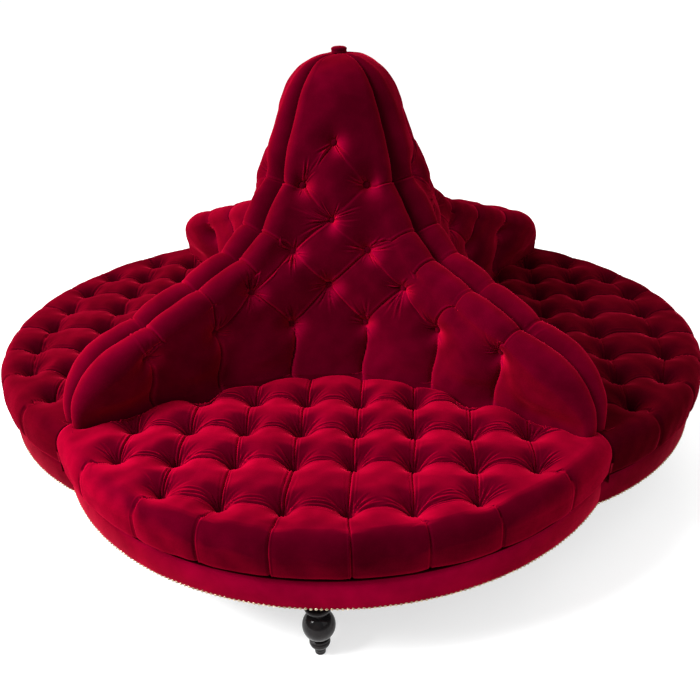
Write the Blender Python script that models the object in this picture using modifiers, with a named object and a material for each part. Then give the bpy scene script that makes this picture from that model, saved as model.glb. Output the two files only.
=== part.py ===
"""A round sofa of four lobed seats around one tall, deep-buttoned back.

The four quarters are alike. Each has a seat on its own lobe and a concave back panel
whose rolled edges meet those of its neighbours along four ridges, which sweep down
from the top of the back to the notches between the seats. Everything is in metres,
+Z up, with the origin on the floor at the centre. The front quarter faces -Y, and
the other three are turned copies of it.
"""

import math

import bmesh
import bpy
from mathutils import Matrix, Vector
from mathutils.geometry import interpolate_bezier

# Plan of the seats
LOBE_RADIUS = 0.915
LOBE_OFFSET = 0.3177
SEAT_OVERHANG = 0.020
SEAT_ROLL_DEPTH = 0.050

# Heights of the base
LEG_HEIGHT = 0.2277
BAND_LIP = 0.003
BAND_HEIGHT = 0.0955
BAND_THICKNESS = 0.028
BAND_CROWN = 0.004
DECK_DROP = 0.005
DECK_THICKNESS = 0.015
CUSHION_HEIGHT = 0.146
WELT_RADIUS = 0.0042
STRIP_HEIGHT = 0.009
STRIP_THICKNESS = 0.0024
DUST_COVER_THICKNESS = 0.0018

# Timber of the base
FRONT_RAIL = 0.085
SIDE_RAIL = 0.035
POST_HALF = 0.040
POST_TOP_DROP = 0.092
INNER_FOOT_RADIUS = 0.026
INNER_FOOT_TOE = 0.020

# Back panels
BACK_RISE = 0.937
BACK_DEPTH = 0.430
BACK_PAD = 0.070
BACK_ROLL = 0.050
RIB_INSET = 0.072
RIB_THICKNESS = 0.018
BOARD_THICKNESS = 0.009
FACE_TURN = math.radians(60)

# Buttoning
SEAT_PIT = 0.050
BACK_PIT = 0.034
SEAT_PLEAT = 0.020
BACK_PLEAT = 0.014
PIT_REACH = 0.070
PLEAT_REACH = 0.045

# Leg, cap and bolts
LEG_INSET = 0.078
LEG_BALL_RADIUS = 0.045
LEG_BALL_HEIGHT = 0.101
LEG_COLLAR_RADIUS = 0.038
LEG_BOWL_RADIUS = 0.029
LEG_TOE_RADIUS = 0.0155
LEG_TOE_HEIGHT = 0.0225
LEG_NECK_RADIUS = 0.022
LEG_TOP_RADIUS = 0.034
BOLT_RADIUS = 0.005
BOLT_IN_LEG = 0.035
BOLT_IN_RAIL = 0.050
CAP_RADIUS = 0.026
CAP_HEIGHT = 0.021
CAP_STUD_RADIUS = 0.006

# Clearances
GAP = 0.0003
BOLT_PLAY = 0.0004
CLOTH_PLAY = 0.003

# Facets
SEAT_ROWS = 10
ROLL_STEPS = 3
FACE_STEPS = 9
INNER_STEPS = 3
EDGE_STEPS = 3
TURN_STEPS = 12
BALL_STEPS = 6
SEARCH_STEPS = 200
TINY_STEP = 0.01

# The back at rising levels, each with its share of the rise, of the ridge's reach, of
# the depth on the centre line, of the rolled edge's radius and of the face's turn
BACK_FORM_SHARES = (
    (0.000, 1.000, 1.000, 0.44, 0.00),
    (0.050, 0.998, 0.945, 0.47, 0.00),
    (0.105, 0.980, 0.895, 0.56, 0.00),
    (0.165, 0.935, 0.850, 0.70, 0.00),
    (0.215, 0.870, 0.820, 0.84, 0.00),
    (0.262, 0.776, 0.805, 0.94, 0.00),
    (0.310, 0.665, 0.797, 1.00, 0.00),
    (0.358, 0.536, 0.793, 1.06, 0.05),
    (0.410, 0.422, 0.787, 1.10, 0.20),
    (0.475, 0.356, 0.772, 1.12, 0.40),
    (0.545, 0.306, 0.735, 1.12, 0.60),
    (0.630, 0.261, 0.655, 1.10, 0.80),
    (0.735, 0.230, 0.552, 0.98, 1.00),
    (0.830, 0.194, 0.482, 0.86, 1.00),
    (0.905, 0.162, 0.410, 0.72, 1.00),
    (0.955, 0.128, 0.319, 0.57, 1.00),
    (0.986, 0.088, 0.210, 0.38, 1.00),
    (0.999, 0.044, 0.105, 0.19, 1.00),
    (1.000, 0.016, 0.040, 0.08, 1.00),
)

# Button spacing, as shares of the seat's edge radius and of the ridge's reach
SEAT_SPACING_SHARE = 0.1864
BACK_SPACING_SHARE = 0.1134

# Rises at which the back cushion has a row of facets: its buttons' rows and between
BACK_LEVEL_SHARES = (
    0.000,
    0.080,
    0.165,
    0.195,
    0.240,
    0.288,
    0.345,
    0.415,
    0.463,
    0.512,
    0.566,
    0.620,
    0.688,
    0.757,
    0.840,
    0.920,
    0.972,
    1.000,
)

# Seat buttons: row from the back, column and distance in from the front edge, the
# last two as shares of the pitch
SEAT_BUTTON_SHARES = (
    (1, 0.5, 3.97),
    (1, 1.5, 3.97),
    (1, 2.5, 3.97),
    (2, 0.5, 2.98),
    (2, 1.5, 2.98),
    (2, 2.5, 2.98),
    (2, 3.5, 2.98),
    (3, 0.5, 2.00),
    (3, 1.5, 2.00),
    (3, 2.5, 2.00),
    (3, 3.5, 2.00),
    (4, 0.5, 0.80),
    (4, 1.5, 0.86),
    (4, 2.5, 1.16),
)
FRONT_PLEAT_SHARE = 0.6

# Back buttons: row from the top, column as a share of the pitch, share of the rise
BACK_BUTTON_SHARES = (
    (0, 0.00, 0.757),
    (1, 0.88, 0.621),
    (2, 0.00, 0.514),
    (3, 0.96, 0.420),
    (4, 0.00, 0.288),
    (4, 1.83, 0.304),
    (5, 0.90, 0.166),
    (5, 2.67, 0.182),
    (5, 4.18, 0.174),
)
NEXT_COLUMN_SHARE = 1.7
LAST_BACK_ROW = 5
FOOT_PLEAT_SHARE = 0.60
FOOT_LEAN_SHARE = 0.35

# Pleats from the outer back buttons to the rolled edge: row, column, share of the rise
EDGE_PLEAT_SHARES = (
    (1, 0.88, 0.617),
    (3, 0.96, 0.480),
    (4, 1.83, 0.405),
    (5, 2.67, 0.346),
    (5, 4.18, 0.275),
)

# Curve of a face between its rolled edge and its centre line
EDGE_LEAD_SHARE = 0.36
CENTRE_LEAD_SHARE = 0.26
BOARD_TOP_SHARE = 0.82
STUD_ROOM_SHARE = 0.60
LEAST_ROW_SHARE = 0.35

# Section of the seat's rolled front edge
WIDEST_SHARE = 0.58
SEAT_LINE_SHARE = 0.955
BACK_EDGE_DROP_SHARE = 0.10

QUARTERS = {"front": 0, "right": 1, "rear": 2, "left": 3}
QUARTER_TURN = math.pi / 2
HALF_TURN = math.pi
DIAGONAL = math.sqrt(0.5)
OUT = Vector((DIAGONAL, -DIAGONAL, 0))
ASIDE = Vector((-DIAGONAL, -DIAGONAL, 0))
UP = Vector((0, 0, 1))

FRAME_BOTTOM = LEG_HEIGHT + GAP
BAND_BOTTOM = FRAME_BOTTOM - BAND_LIP
BAND_TOP = BAND_BOTTOM + BAND_HEIGHT
DECK_TOP = BAND_TOP - DECK_DROP
FRAME_TOP = DECK_TOP - DECK_THICKNESS - GAP
CUSHION_BOTTOM = DECK_TOP + GAP
CROWN = DECK_TOP + CUSHION_HEIGHT
SEAT_LINE = DECK_TOP + SEAT_LINE_SHARE * CUSHION_HEIGHT
BACK_TOP = SEAT_LINE + BACK_RISE
SEAT_RADIUS = LOBE_RADIUS + SEAT_OVERHANG
EDGE_RADIUS = SEAT_RADIUS - SEAT_ROLL_DEPTH
FRONT_EDGE = LOBE_OFFSET + LOBE_RADIUS
FRAME_RADIUS = LOBE_RADIUS - BAND_THICKNESS - GAP
WELT_LINE = LOBE_RADIUS - BAND_CROWN
LEG_AXIS = FRONT_EDGE - LEG_INSET


def lobe_angle(radius):
    """Half the angle of a lobe's arc of this radius, up to the line between the lobes."""
    return math.pi / 4 + math.asin((LOBE_OFFSET - GAP) * DIAGONAL / radius)


def lobe_point(radius, angle, z=0.0):
    return Vector((radius * math.sin(angle), -LOBE_OFFSET - radius * math.cos(angle), z))


WING_REACH = lobe_point(EDGE_RADIUS, lobe_angle(EDGE_RADIUS)).to_2d().length
SEAT_PITCH = SEAT_SPACING_SHARE * EDGE_RADIUS
BACK_PITCH = BACK_SPACING_SHARE * WING_REACH


def lobe_turns():
    """Angles of the columns shared by every piece of a lobe, from right to left."""
    end = lobe_angle(EDGE_RADIUS)
    start = math.asin(Level(0).roll_point(0).x / EDGE_RADIUS)
    right = [end + (start - end) * i / ROLL_STEPS for i in range(ROLL_STEPS + 1)]
    for half_pitches in range(FACE_STEPS - 1, 0, -1):
        right.append(math.asin(half_pitches * SEAT_PITCH / 2 / EDGE_RADIUS))
    return [*right, 0, *(-turn for turn in reversed(right))]


def lobe_arc(radius, z=0.0):
    """Points along a lobe's arc from right to left, cut off on the lines between lobes."""
    points = [lobe_point(radius, turn, z) for turn in lobe_turns()]
    inside = points[1].x + points[1].y + GAP
    outside = points[0].x + points[0].y + GAP
    points[0] = points[1].lerp(points[0], inside / (inside - outside))
    points[-1] = Vector((-points[0].x, points[0].y, z))
    return points


def material(name, colour, roughness, metallic=0.0, sheen=0.0):
    made = bpy.data.materials.new(name)
    made.use_nodes = True
    shader = made.node_tree.nodes["Principled BSDF"]
    shader.inputs["Base Color"].default_value = (*colour, 1.0)
    shader.inputs["Roughness"].default_value = roughness
    shader.inputs["Metallic"].default_value = metallic
    shader.inputs["Sheen Weight"].default_value = sheen
    made.diffuse_color = (*colour, 1.0)
    return made


def place(name, data, finish, collection, turn=0.0):
    """Puts an object in the sofa, turned about the centre."""
    piece = bpy.data.objects.new(name, data)
    piece.rotation_euler.z = turn
    if not data.materials:
        data.materials.append(finish)
    collection.objects.link(piece)
    return piece


def place_quarters(name, data, finish, collection):
    """Four copies of a piece, one in each quarter."""
    for quarter, turns in QUARTERS.items():
        place(f"{name}_{quarter}", data, finish, collection, turns * QUARTER_TURN)


def mesh_from(bm, name, smooth_angle=math.radians(40)):
    """A mesh with its faces turned outward and its round parts shaded smooth."""
    bmesh.ops.recalc_face_normals(bm, faces=bm.faces)
    mesh = bpy.data.meshes.new(name)
    bm.to_mesh(mesh)
    bm.free()
    mesh.shade_smooth()
    mesh.set_sharp_from_angle(angle=smooth_angle)
    return mesh


def loft(name, sections):
    """A solid through closed sections with equal counts of points, capped at both ends."""
    bm = bmesh.new()
    rings = [[bm.verts.new(point) for point in section] for section in sections]
    count = len(rings[0])
    for ring, following in zip(rings, rings[1:]):
        for i in range(count):
            j = (i + 1) % count
            corners = (ring[i], ring[j], following[j], following[i])
            if abs(ring[i].co.x) < abs(ring[j].co.x):
                corners = (*corners[1:], corners[0])
            bm.faces.new(corners[:3])
            bm.faces.new((corners[0], corners[2], corners[3]))
    bm.faces.new(rings[0])
    bm.faces.new(rings[-1])
    bmesh.ops.remove_doubles(bm, verts=bm.verts, dist=GAP / 10)
    bmesh.ops.triangulate(bm, faces=[face for face in bm.faces if len(face.verts) > 4])
    return mesh_from(bm, name)


def plate(name, outlines, low, high):
    """A flat plate between two heights. Outlines after the first are its holes."""
    curve = bpy.data.curves.new(name, "CURVE")
    curve.dimensions = "2D"
    curve.fill_mode = "BOTH"
    curve.extrude = (high - low) / 2
    for outline in outlines:
        spline = curve.splines.new("POLY")
        spline.points.add(len(outline) - 1)
        for point, corner in zip(spline.points, outline):
            point.co = (corner[0], corner[1], 0, 1)
        spline.use_cyclic_u = True
    guide = bpy.data.objects.new(name, curve)
    bpy.context.scene.collection.objects.link(guide)
    guide.location.z = (low + high) / 2
    mesh = mesh_of(guide)
    bpy.data.objects.remove(guide)
    bpy.data.curves.remove(curve)
    return mesh


def mesh_of(piece):
    """The evaluated mesh of an object, in world space, with its seams welded."""
    bpy.context.view_layer.update()
    graph = bpy.context.evaluated_depsgraph_get()
    mesh = bpy.data.meshes.new_from_object(piece.evaluated_get(graph))
    mesh.transform(piece.matrix_world)
    bm = bmesh.new()
    bm.from_mesh(mesh)
    bpy.data.meshes.remove(mesh)
    bmesh.ops.remove_doubles(bm, verts=bm.verts, dist=GAP / 10)
    return mesh_from(bm, piece.name)


def sweep_lobe(name, section):
    """A section of (radius, height) points swept round a lobe between its two notches."""
    return loft(name, zip(*(lobe_arc(radius, z) for radius, z in section)))


def turned(name, profile):
    """A turned solid from (radius, height) points that run down its outer side."""
    bm = bmesh.new()
    points = [bm.verts.new((radius, 0, z)) for radius, z in profile]
    for above, below in zip(points, points[1:]):
        bm.edges.new((above, below))
    wire = bpy.data.meshes.new(name)
    bm.to_mesh(wire)
    bm.free()
    guide = bpy.data.objects.new(name, wire)
    bpy.context.scene.collection.objects.link(guide)
    screw = guide.modifiers.new("turn", "SCREW")
    screw.steps = TURN_STEPS
    screw.render_steps = TURN_STEPS
    screw.use_merge_vertices = True
    screw.merge_threshold = GAP / 10
    mesh = mesh_of(guide)
    bpy.data.objects.remove(guide)
    bpy.data.meshes.remove(wire)
    return mesh


def cylinder(name, radius, toe_radius, low, high, place_at=(0, 0)):
    bm = bmesh.new()
    bmesh.ops.create_cone(
        bm,
        cap_ends=True,
        segments=TURN_STEPS,
        radius1=toe_radius,
        radius2=radius,
        depth=high - low,
        matrix=Matrix.Translation((*place_at, (low + high) / 2)),
    )
    return mesh_from(bm, name)


def circle(radius, centre):
    turns = [2 * math.pi * i / TURN_STEPS for i in range(TURN_STEPS)]
    return [(centre[0] + radius * math.cos(t), centre[1] + radius * math.sin(t)) for t in turns]


def arc_profile(centre, radius, start, end, steps):
    """Points of a round stretch of a turned profile, by angles from straight up."""
    turns = [start + (end - start) * i / steps for i in range(steps + 1)]
    return [(centre[0] + radius * math.sin(t), centre[1] + radius * math.cos(t)) for t in turns]


def smooth_row(rows, level):
    """The row at a fractional index of a table, on a smooth curve through all its rows."""
    index = min(max(int(level), 0), len(rows) - 2)
    t = level - index
    picked = [rows[min(max(index + k, 0), len(rows) - 1)] for k in (-1, 0, 1, 2)]
    weights = (
        (-t + 2 * t**2 - t**3) / 2,
        (2 - 5 * t**2 + 3 * t**3) / 2,
        (t + 4 * t**2 - 3 * t**3) / 2,
        (-(t**2) + t**3) / 2,
    )
    return [sum(w * row[k] for w, row in zip(weights, picked)) for k in range(len(rows[0]))]


class Level:
    """Sizes of the back at one level of its form, and the directions of its ridge there."""

    def __init__(self, level):
        shares = smooth_row(BACK_FORM_SHARES, level)
        above = smooth_row(BACK_FORM_SHARES, level + TINY_STEP)
        below = smooth_row(BACK_FORM_SHARES, level - TINY_STEP)
        rise = (above[0] - below[0]) * BACK_RISE
        self.z = SEAT_LINE + shares[0] * BACK_RISE
        self.crest = shares[1] * WING_REACH
        self.centre = shares[2] * BACK_DEPTH
        self.roll = shares[3] * BACK_ROLL
        self.turn = shares[4] * FACE_TURN
        ridge_run = (above[1] - below[1]) * WING_REACH
        face_run = (above[2] - below[2]) * BACK_DEPTH
        self.ridge_normal = (OUT * rise - UP * ridge_run).normalized()
        self.face_normal = (Vector((0, -1, 0)) * rise - UP * face_run).normalized()

    def crest_point(self):
        return OUT * self.crest + UP * self.z

    def roll_point(self, angle):
        """A point round the rolled edge, from its face at angle zero to its neighbour."""
        axis = self.crest_point() - self.ridge_normal * self.roll + ASIDE * (self.roll + GAP)
        return axis + (ASIDE * math.cos(angle) + self.ridge_normal * math.sin(angle)) * self.roll

    def face(self, shares):
        """Points of the face between its rolled edge, at share 0, and the centre line."""
        start = self.roll_point(self.turn)
        end = Vector((0, -self.centre, self.z))
        lead = (end - start).length
        leaving = ASIDE * math.sin(self.turn) - OUT * math.cos(self.turn)
        first = start + leaving * lead * EDGE_LEAD_SHARE
        second = end + Vector((lead * CENTRE_LEAD_SHARE, 0, 0))
        return [bezier_point((start, first, second, end), share) for share in shares]

    def front(self, shares):
        """Half of the front outline: the rolled edge, then the face to the centre line."""
        span = self.turn - HALF_TURN
        turns = [HALF_TURN + span * i / ROLL_STEPS for i in range(ROLL_STEPS)]
        return [self.roll_point(turn) for turn in turns] + self.face(shares)

    def rib_edge(self):
        return self.crest_point() - self.ridge_normal * RIB_INSET

    def inner(self):
        """The cushion's hidden side, from the rib to the centre line."""
        start = self.rib_edge() + self.ridge_normal * RIB_THICKNESS / 4
        start = start + ASIDE * (RIB_THICKNESS / 2 + GAP)
        end = Vector((0, -self.centre, self.z)) - self.face_normal * BACK_PAD
        lead = (end - start).length
        first = start - OUT * lead * EDGE_LEAD_SHARE
        second = end + Vector((lead * CENTRE_LEAD_SHARE, 0, 0))
        return interpolate_bezier(start, first, second, end, INNER_STEPS + 1)


def bezier_point(corners, share):
    rest = 1 - share
    weights = (rest**3, 3 * share * rest**2, 3 * share**2 * rest, share**3)
    return sum((corner * weight for corner, weight in zip(corners, weights)), Vector((0, 0, 0)))


def face_shares():
    """Shares along a face that stand behind the shared columns of the seat."""
    dense = [i / SEARCH_STEPS for i in range(SEARCH_STEPS + 1)]
    foot = list(zip(dense, Level(0).face(dense)))
    turns = lobe_turns()[ROLL_STEPS + 1 : ROLL_STEPS + FACE_STEPS]
    across = [EDGE_RADIUS * math.sin(turn) for turn in turns]
    found = [min(foot, key=lambda pair: abs(pair[1].x - x))[0] for x in across]
    return [0, *found, 1]


def both_sides(half):
    """A half outline that ends on the centre line, followed by its mirror image."""
    return half + mirrored(half)[1:]


def mirrored(points):
    return [Vector((-p.x, p.y, p.z)) for p in reversed(points)]


def dropped(points, z):
    return [Vector((p.x, p.y, z)) for p in points]


def back_levels():
    return [level_at(share) for share in BACK_LEVEL_SHARES]


def level_at(share):
    """The level whose height is this share of the rise."""
    for index, (low, high) in enumerate(zip(BACK_FORM_SHARES, BACK_FORM_SHARES[1:])):
        if low[0] <= share <= high[0]:
            return Level(index + (share - low[0]) / (high[0] - low[0]))
    return Level(0)


def nearest_on_segment(point, start, end):
    run = end - start
    t = (point - start).dot(run) / run.length_squared
    return start + run * min(max(t, 0), 1)


def draw_in(point, buttons, pleats, pit, pleat):
    """How far the cover is drawn in at a point by the buttons and the pleats."""
    drawn = 0.0
    for button in buttons:
        near = max(1 - (point - button).length / PIT_REACH, 0)
        drawn = max(drawn, pit * near)
    for start, end in pleats:
        away = (point - nearest_on_segment(point, start, end)).length
        drawn = max(drawn, pleat * max(1 - away / PLEAT_REACH, 0))
    return drawn


def back_buttons():
    """Places of the back buttons on the smooth face, with the pleats that join them."""
    placed = []
    dense = [i / SEARCH_STEPS for i in range(SEARCH_STEPS + 1)]
    for row, column, share in BACK_BUTTON_SHARES:
        face = level_at(share).face(dense)
        across = column * BACK_PITCH
        spot = min(face, key=lambda point: abs(point.x - across))
        placed.append((row, column, spot))
        if column:
            placed.append((row, -column, Vector((-spot.x, spot.y, spot.z))))
    pleats = [
        (a[2], b[2])
        for a in placed
        for b in placed
        if b[0] == a[0] + 1 and abs(a[1] - b[1]) < NEXT_COLUMN_SHARE and a[1] != b[1]
    ]
    for row, column, share in EDGE_PLEAT_SHARES:
        spot = next(c for a, b, c in placed if (a, b) == (row, column))
        edge = level_at(share).face([0])[0]
        pleats += [(spot, edge), (mirror_point(spot), mirror_point(edge))]
    for row, column, spot in placed:
        if row == LAST_BACK_ROW:
            foot = Vector((spot.x, spot.y - (spot.z - SEAT_LINE) * FOOT_LEAN_SHARE, SEAT_LINE))
            pleats.append((spot, spot.lerp(foot, FOOT_PLEAT_SHARE)))
    return [spot for _, _, spot in placed], pleats


def mirror_point(point):
    return Vector((-point.x, point.y, point.z))


def seat_buttons():
    """Places of the seat buttons, with the pleats that join them in both directions."""
    placed = {}
    for row, column, inward in SEAT_BUTTON_SHARES:
        spot = Vector((column * SEAT_PITCH, inward * SEAT_PITCH - FRONT_EDGE, CROWN))
        placed[row, column] = spot
        placed[row, -column] = mirror_point(spot)
    pleats = []
    for (row, column), spot in placed.items():
        for following in ((row, column + 1), (row + 1, column)):
            if following in placed:
                pleats.append((spot, placed[following]))
        if (row + 1, column) not in placed:
            edge = Vector((spot.x, -LOBE_OFFSET - math.sqrt(EDGE_RADIUS**2 - spot.x**2), CROWN))
            pleats.append((spot, spot.lerp(edge, FRONT_PLEAT_SHARE)))
    return list(placed.values()), pleats


def seat_row_shares(column, rear, edge):
    """Shares at which the rows cross a column of the seat, on its buttons where it has any."""
    known = {0: 0.0, SEAT_ROWS: 1.0}
    for row, button_column, inward in SEAT_BUTTON_SHARES:
        if button_column == column:
            share = (inward * SEAT_PITCH - FRONT_EDGE - rear.y) / (edge.y - rear.y)
            known[2 * row] = max(share, LEAST_ROW_SHARE * 2 * row / SEAT_ROWS)
    rows = sorted(known)
    shares = []
    for row in range(SEAT_ROWS + 1):
        low = max(r for r in rows if r <= row)
        high = min(r for r in rows if r >= row)
        span = (row - low) / (high - low) if high > low else 0
        shares.append(known[low] + (known[high] - known[low]) * span)
    return shares


def drawn_sheet(sheet, buttons, pleats, normals, pit, pleat):
    """A sheet of points drawn in at its buttons. The nearest point moves to each button."""
    taken = {}
    for button in buttons:
        free = [
            (i, j)
            for i in range(1, len(sheet) - 1)
            for j in range(1, len(sheet[0]) - 1)
            if (i, j) not in taken
        ]
        spot = min(free, key=lambda key: (sheet[key[0]][key[1]] - button).length)
        taken[spot] = button
    for (i, j), button in taken.items():
        sheet[i][j] = button.copy()
    return [
        [
            point - normals[i][j] * draw_in(point, buttons, pleats, pit, pleat)
            for j, point in enumerate(row)
        ]
        for i, row in enumerate(sheet)
    ]


def sheet_normals(sheet):
    """Outward directions of a sheet of points, from their neighbours."""
    found = []
    for i, row in enumerate(sheet):
        below = sheet[max(i - 1, 0)]
        above = sheet[min(i + 1, len(sheet) - 1)]
        line = []
        for j in range(len(row)):
            across = row[min(j + 1, len(row) - 1)] - row[max(j - 1, 0)]
            line.append((above[j] - below[j]).cross(across).normalized())
        found.append(line)
    return found


def make_back_cushion():
    """A concave back cushion: a buttoned face, a rolled edge each side and a hollow rear."""
    levels = back_levels()
    shares = face_shares()
    fronts = [both_sides(level.front(shares)) for level in levels]
    buttons, pleats = back_buttons()
    fronts = drawn_sheet(fronts, buttons, pleats, sheet_normals(fronts), BACK_PIT, BACK_PLEAT)
    hidden = [both_sides(level.inner()) for level in levels[:-1]]
    hidden.append(around_stud(fronts[-1]))
    sections = [front + list(reversed(rear)) for front, rear in zip(fronts, hidden)]
    return loft("back_cushion", [dropped(sections[0], CUSHION_BOTTOM), *sections])


def around_stud(front):
    """The top edge of the cushion's hidden side, which leaves room for the cap's stud."""
    step = (len(front) - 1) // (2 * INNER_STEPS)
    return [Vector((p.x * STUD_ROOM_SHARE, p.y * STUD_ROOM_SHARE, p.z)) for p in front[::step]]


def make_back_board():
    """The bent board that carries a back cushion between two ribs."""
    sections = []
    for level in back_levels():
        hidden = both_sides(level.inner()[1:])
        if max(point.z for point in hidden) < SEAT_LINE + BOARD_TOP_SHARE * BACK_RISE:
            front = [point + Vector((0, GAP / DIAGONAL, 0)) for point in hidden]
            rear = [point + Vector((0, board_depth(point), 0)) for point in front]
            sections.append(front + list(reversed(rear)))
    return loft("back_board", [dropped(sections[0], CUSHION_BOTTOM), *sections])


def board_depth(point):
    """Thickness of the board along Y, which thins where it runs out beside a rib."""
    room = -point.y - abs(point.x) - (RIB_THICKNESS / 2 + GAP) / DIAGONAL
    return min(BOARD_THICKNESS / DIAGONAL, room)


def seat_rear():
    """The seat's rear outline, close along the polygon of the back's foot."""
    foot = both_sides(Level(0).front(face_shares()))
    placed = []
    for before, point, after in zip(foot, foot[1:], foot[2:]):
        near = (point - before).to_2d().normalized()
        far = (after - point).to_2d().normalized()
        out = Vector((-near.y - far.y, near.x + far.x)).normalized()
        reach = GAP / out.dot(Vector((-near.y, near.x)))
        placed.append(Vector((point.x + out.x * reach, point.y + out.y * reach, 0)))
    tip = lobe_arc(EDGE_RADIUS)[0]
    return [tip, *placed, mirror_point(tip)]


def seat_grid():
    """Points of the seat's top in columns from right to left, before it is buttoned."""
    rears = seat_rear()
    edges = lobe_arc(EDGE_RADIUS, CROWN)
    centre = len(edges) // 2
    last = max(column for _, column, _ in SEAT_BUTTON_SHARES)
    shares = {}
    for step in range(1, int(2 * last) + 1, 2):
        place = centre + step
        shares[step] = seat_row_shares(step / 2, rears[place], edges[place])
    columns = []
    for place, (rear, edge) in enumerate(zip(rears, edges)):
        step = min(abs(place - centre), max(shares))
        low = shares[max(step - 1 + step % 2, 1)]
        high = shares[min(step + 1 - step % 2, max(shares))]
        mean = [(a + b) / 2 for a, b in zip(low, high)]
        start = Vector((rear.x, rear.y, CROWN))
        points = [start.lerp(edge, share) for share in mean]
        if (start - edge).length > GAP:
            points[0].z -= BACK_EDGE_DROP_SHARE * CUSHION_HEIGHT
        columns.append(points)
    return columns


def make_seat_cushion():
    """A buttoned seat cushion whose front edge rolls over the band to a drawn-in seam."""
    buttons, pleats = seat_buttons()
    rolls = zip(*(lobe_arc(radius, z) for radius, z in seat_roll_section()))
    sections = []
    for column, roll in zip(seat_grid(), rolls):
        top = [point - UP * draw_in(point, buttons, pleats, SEAT_PIT, SEAT_PLEAT) for point in column]
        rear_low = Vector((top[0].x, top[0].y, CUSHION_BOTTOM))
        sections.append([*top, *roll, rear_low])
    return loft("seat_cushion", sections)


def seat_roll_section():
    """The seat's rolled front edge, its seam and its underside, as (radius, height)."""
    widest = CUSHION_BOTTOM + WIDEST_SHARE * CUSHION_HEIGHT
    seam_radius = WELT_LINE - WELT_RADIUS - GAP
    turns = [math.pi / 2 * i / EDGE_STEPS for i in range(1, EDGE_STEPS + 1)]
    points = [
        (EDGE_RADIUS + SEAT_ROLL_DEPTH * math.sin(turn), widest + (CROWN - widest) * math.cos(turn))
        for turn in turns
    ]
    points.append((SEAT_RADIUS - SEAT_OVERHANG / 3, (widest + BAND_TOP) / 2))
    points.append((seam_radius, BAND_TOP + 2 * WELT_RADIUS))
    points.append((seam_radius, BAND_TOP + GAP))
    points.append((FRAME_RADIUS, BAND_TOP + GAP))
    points.append((FRAME_RADIUS, CUSHION_BOTTOM))
    return points


def make_border_band():
    """The padded band round a lobe, slightly crowned on its outer face."""
    inner = LOBE_RADIUS - BAND_THICKNESS
    outer = LOBE_RADIUS - BAND_CROWN
    section = [
        (inner, BAND_BOTTOM),
        (outer, BAND_BOTTOM),
        (LOBE_RADIUS - BAND_CROWN / 4, BAND_BOTTOM + BAND_HEIGHT / 4),
        (LOBE_RADIUS, BAND_BOTTOM + BAND_HEIGHT / 2),
        (LOBE_RADIUS - BAND_CROWN / 4, BAND_TOP - BAND_HEIGHT / 4),
        (outer, BAND_TOP),
        (inner, BAND_TOP),
    ]
    return sweep_lobe("border_band", section)


def make_welt():
    """The piping in the seam between the seat and the band."""
    centre = (WELT_LINE, BAND_TOP + GAP + WELT_RADIUS)
    section = arc_profile(centre, WELT_RADIUS, 0, -2 * math.pi, 8)[:-1]
    return sweep_lobe("seam_welt", section)


def make_nail_strip():
    """The domed metal strip that the decorative nail heads stand on."""
    low = LOBE_RADIUS - BAND_CROWN + GAP
    lean = 3 * BAND_CROWN / BAND_HEIGHT
    section = [
        (low, BAND_BOTTOM),
        (low + STRIP_THICKNESS, BAND_BOTTOM + STRIP_HEIGHT / 4),
        (low + STRIP_THICKNESS + lean * STRIP_HEIGHT / 2, BAND_BOTTOM + 3 * STRIP_HEIGHT / 4),
        (low + lean * STRIP_HEIGHT, BAND_BOTTOM + STRIP_HEIGHT),
    ]
    return sweep_lobe("nail_strip", section)


def quarter_outline(radius):
    """A quarter of the base: its lobe's arc, and two sides that run in to the post."""
    inner = POST_HALF + GAP
    right = OUT * inner + ASIDE * GAP * DIAGONAL
    tip = Vector((0, -inner / DIAGONAL, 0))
    return [*lobe_arc(radius), mirror_point(right), tip, right]


def frame_opening(side):
    """The open bay of a seat frame on one side of its centre rail."""
    radius = FRAME_RADIUS - FRONT_RAIL
    start = math.asin(SIDE_RAIL / radius)
    end = math.pi / 4 + math.asin((LOBE_OFFSET - SIDE_RAIL / DIAGONAL) * DIAGONAL / radius)
    turns = [start + (end - start) * i / FACE_STEPS for i in range(FACE_STEPS + 1)]
    inner = (POST_HALF + FRONT_RAIL) / DIAGONAL
    corner = inner - SIDE_RAIL / DIAGONAL
    points = [lobe_point(radius, turn) for turn in turns]
    points += [Vector((corner, -inner, 0)), Vector((SIDE_RAIL, -inner, 0))]
    return [Vector((side * p.x, p.y, 0)) for p in points]


def inner_foot_place():
    return (0, -(POST_HALF + FRONT_RAIL / 2) / DIAGONAL)


def make_seat_frame():
    """The timber frame of a quarter, with two open bays and a bore for the leg's bolt."""
    bore = circle(BOLT_RADIUS + BOLT_PLAY, (0, -LEG_AXIS))
    outlines = [quarter_outline(FRAME_RADIUS), frame_opening(1), frame_opening(-1), bore]
    return plate("seat_frame", outlines, FRAME_BOTTOM, FRAME_TOP)


def make_seat_deck():
    outline = quarter_outline(FRAME_RADIUS)
    return plate("seat_deck", [outline], DECK_TOP - DECK_THICKNESS, DECK_TOP)


def make_dust_cover():
    """The black cloth under a frame, cut out round the leg and the inner foot."""
    leg_hole = circle(LEG_TOP_RADIUS + CLOTH_PLAY, (0, -LEG_AXIS))
    foot_hole = circle(INNER_FOOT_RADIUS + CLOTH_PLAY, inner_foot_place())
    top = FRAME_BOTTOM - GAP
    outlines = [quarter_outline(FRAME_RADIUS), leg_hole, foot_hole]
    return plate("dust_cover", outlines, top - DUST_COVER_THICKNESS, top)


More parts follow.
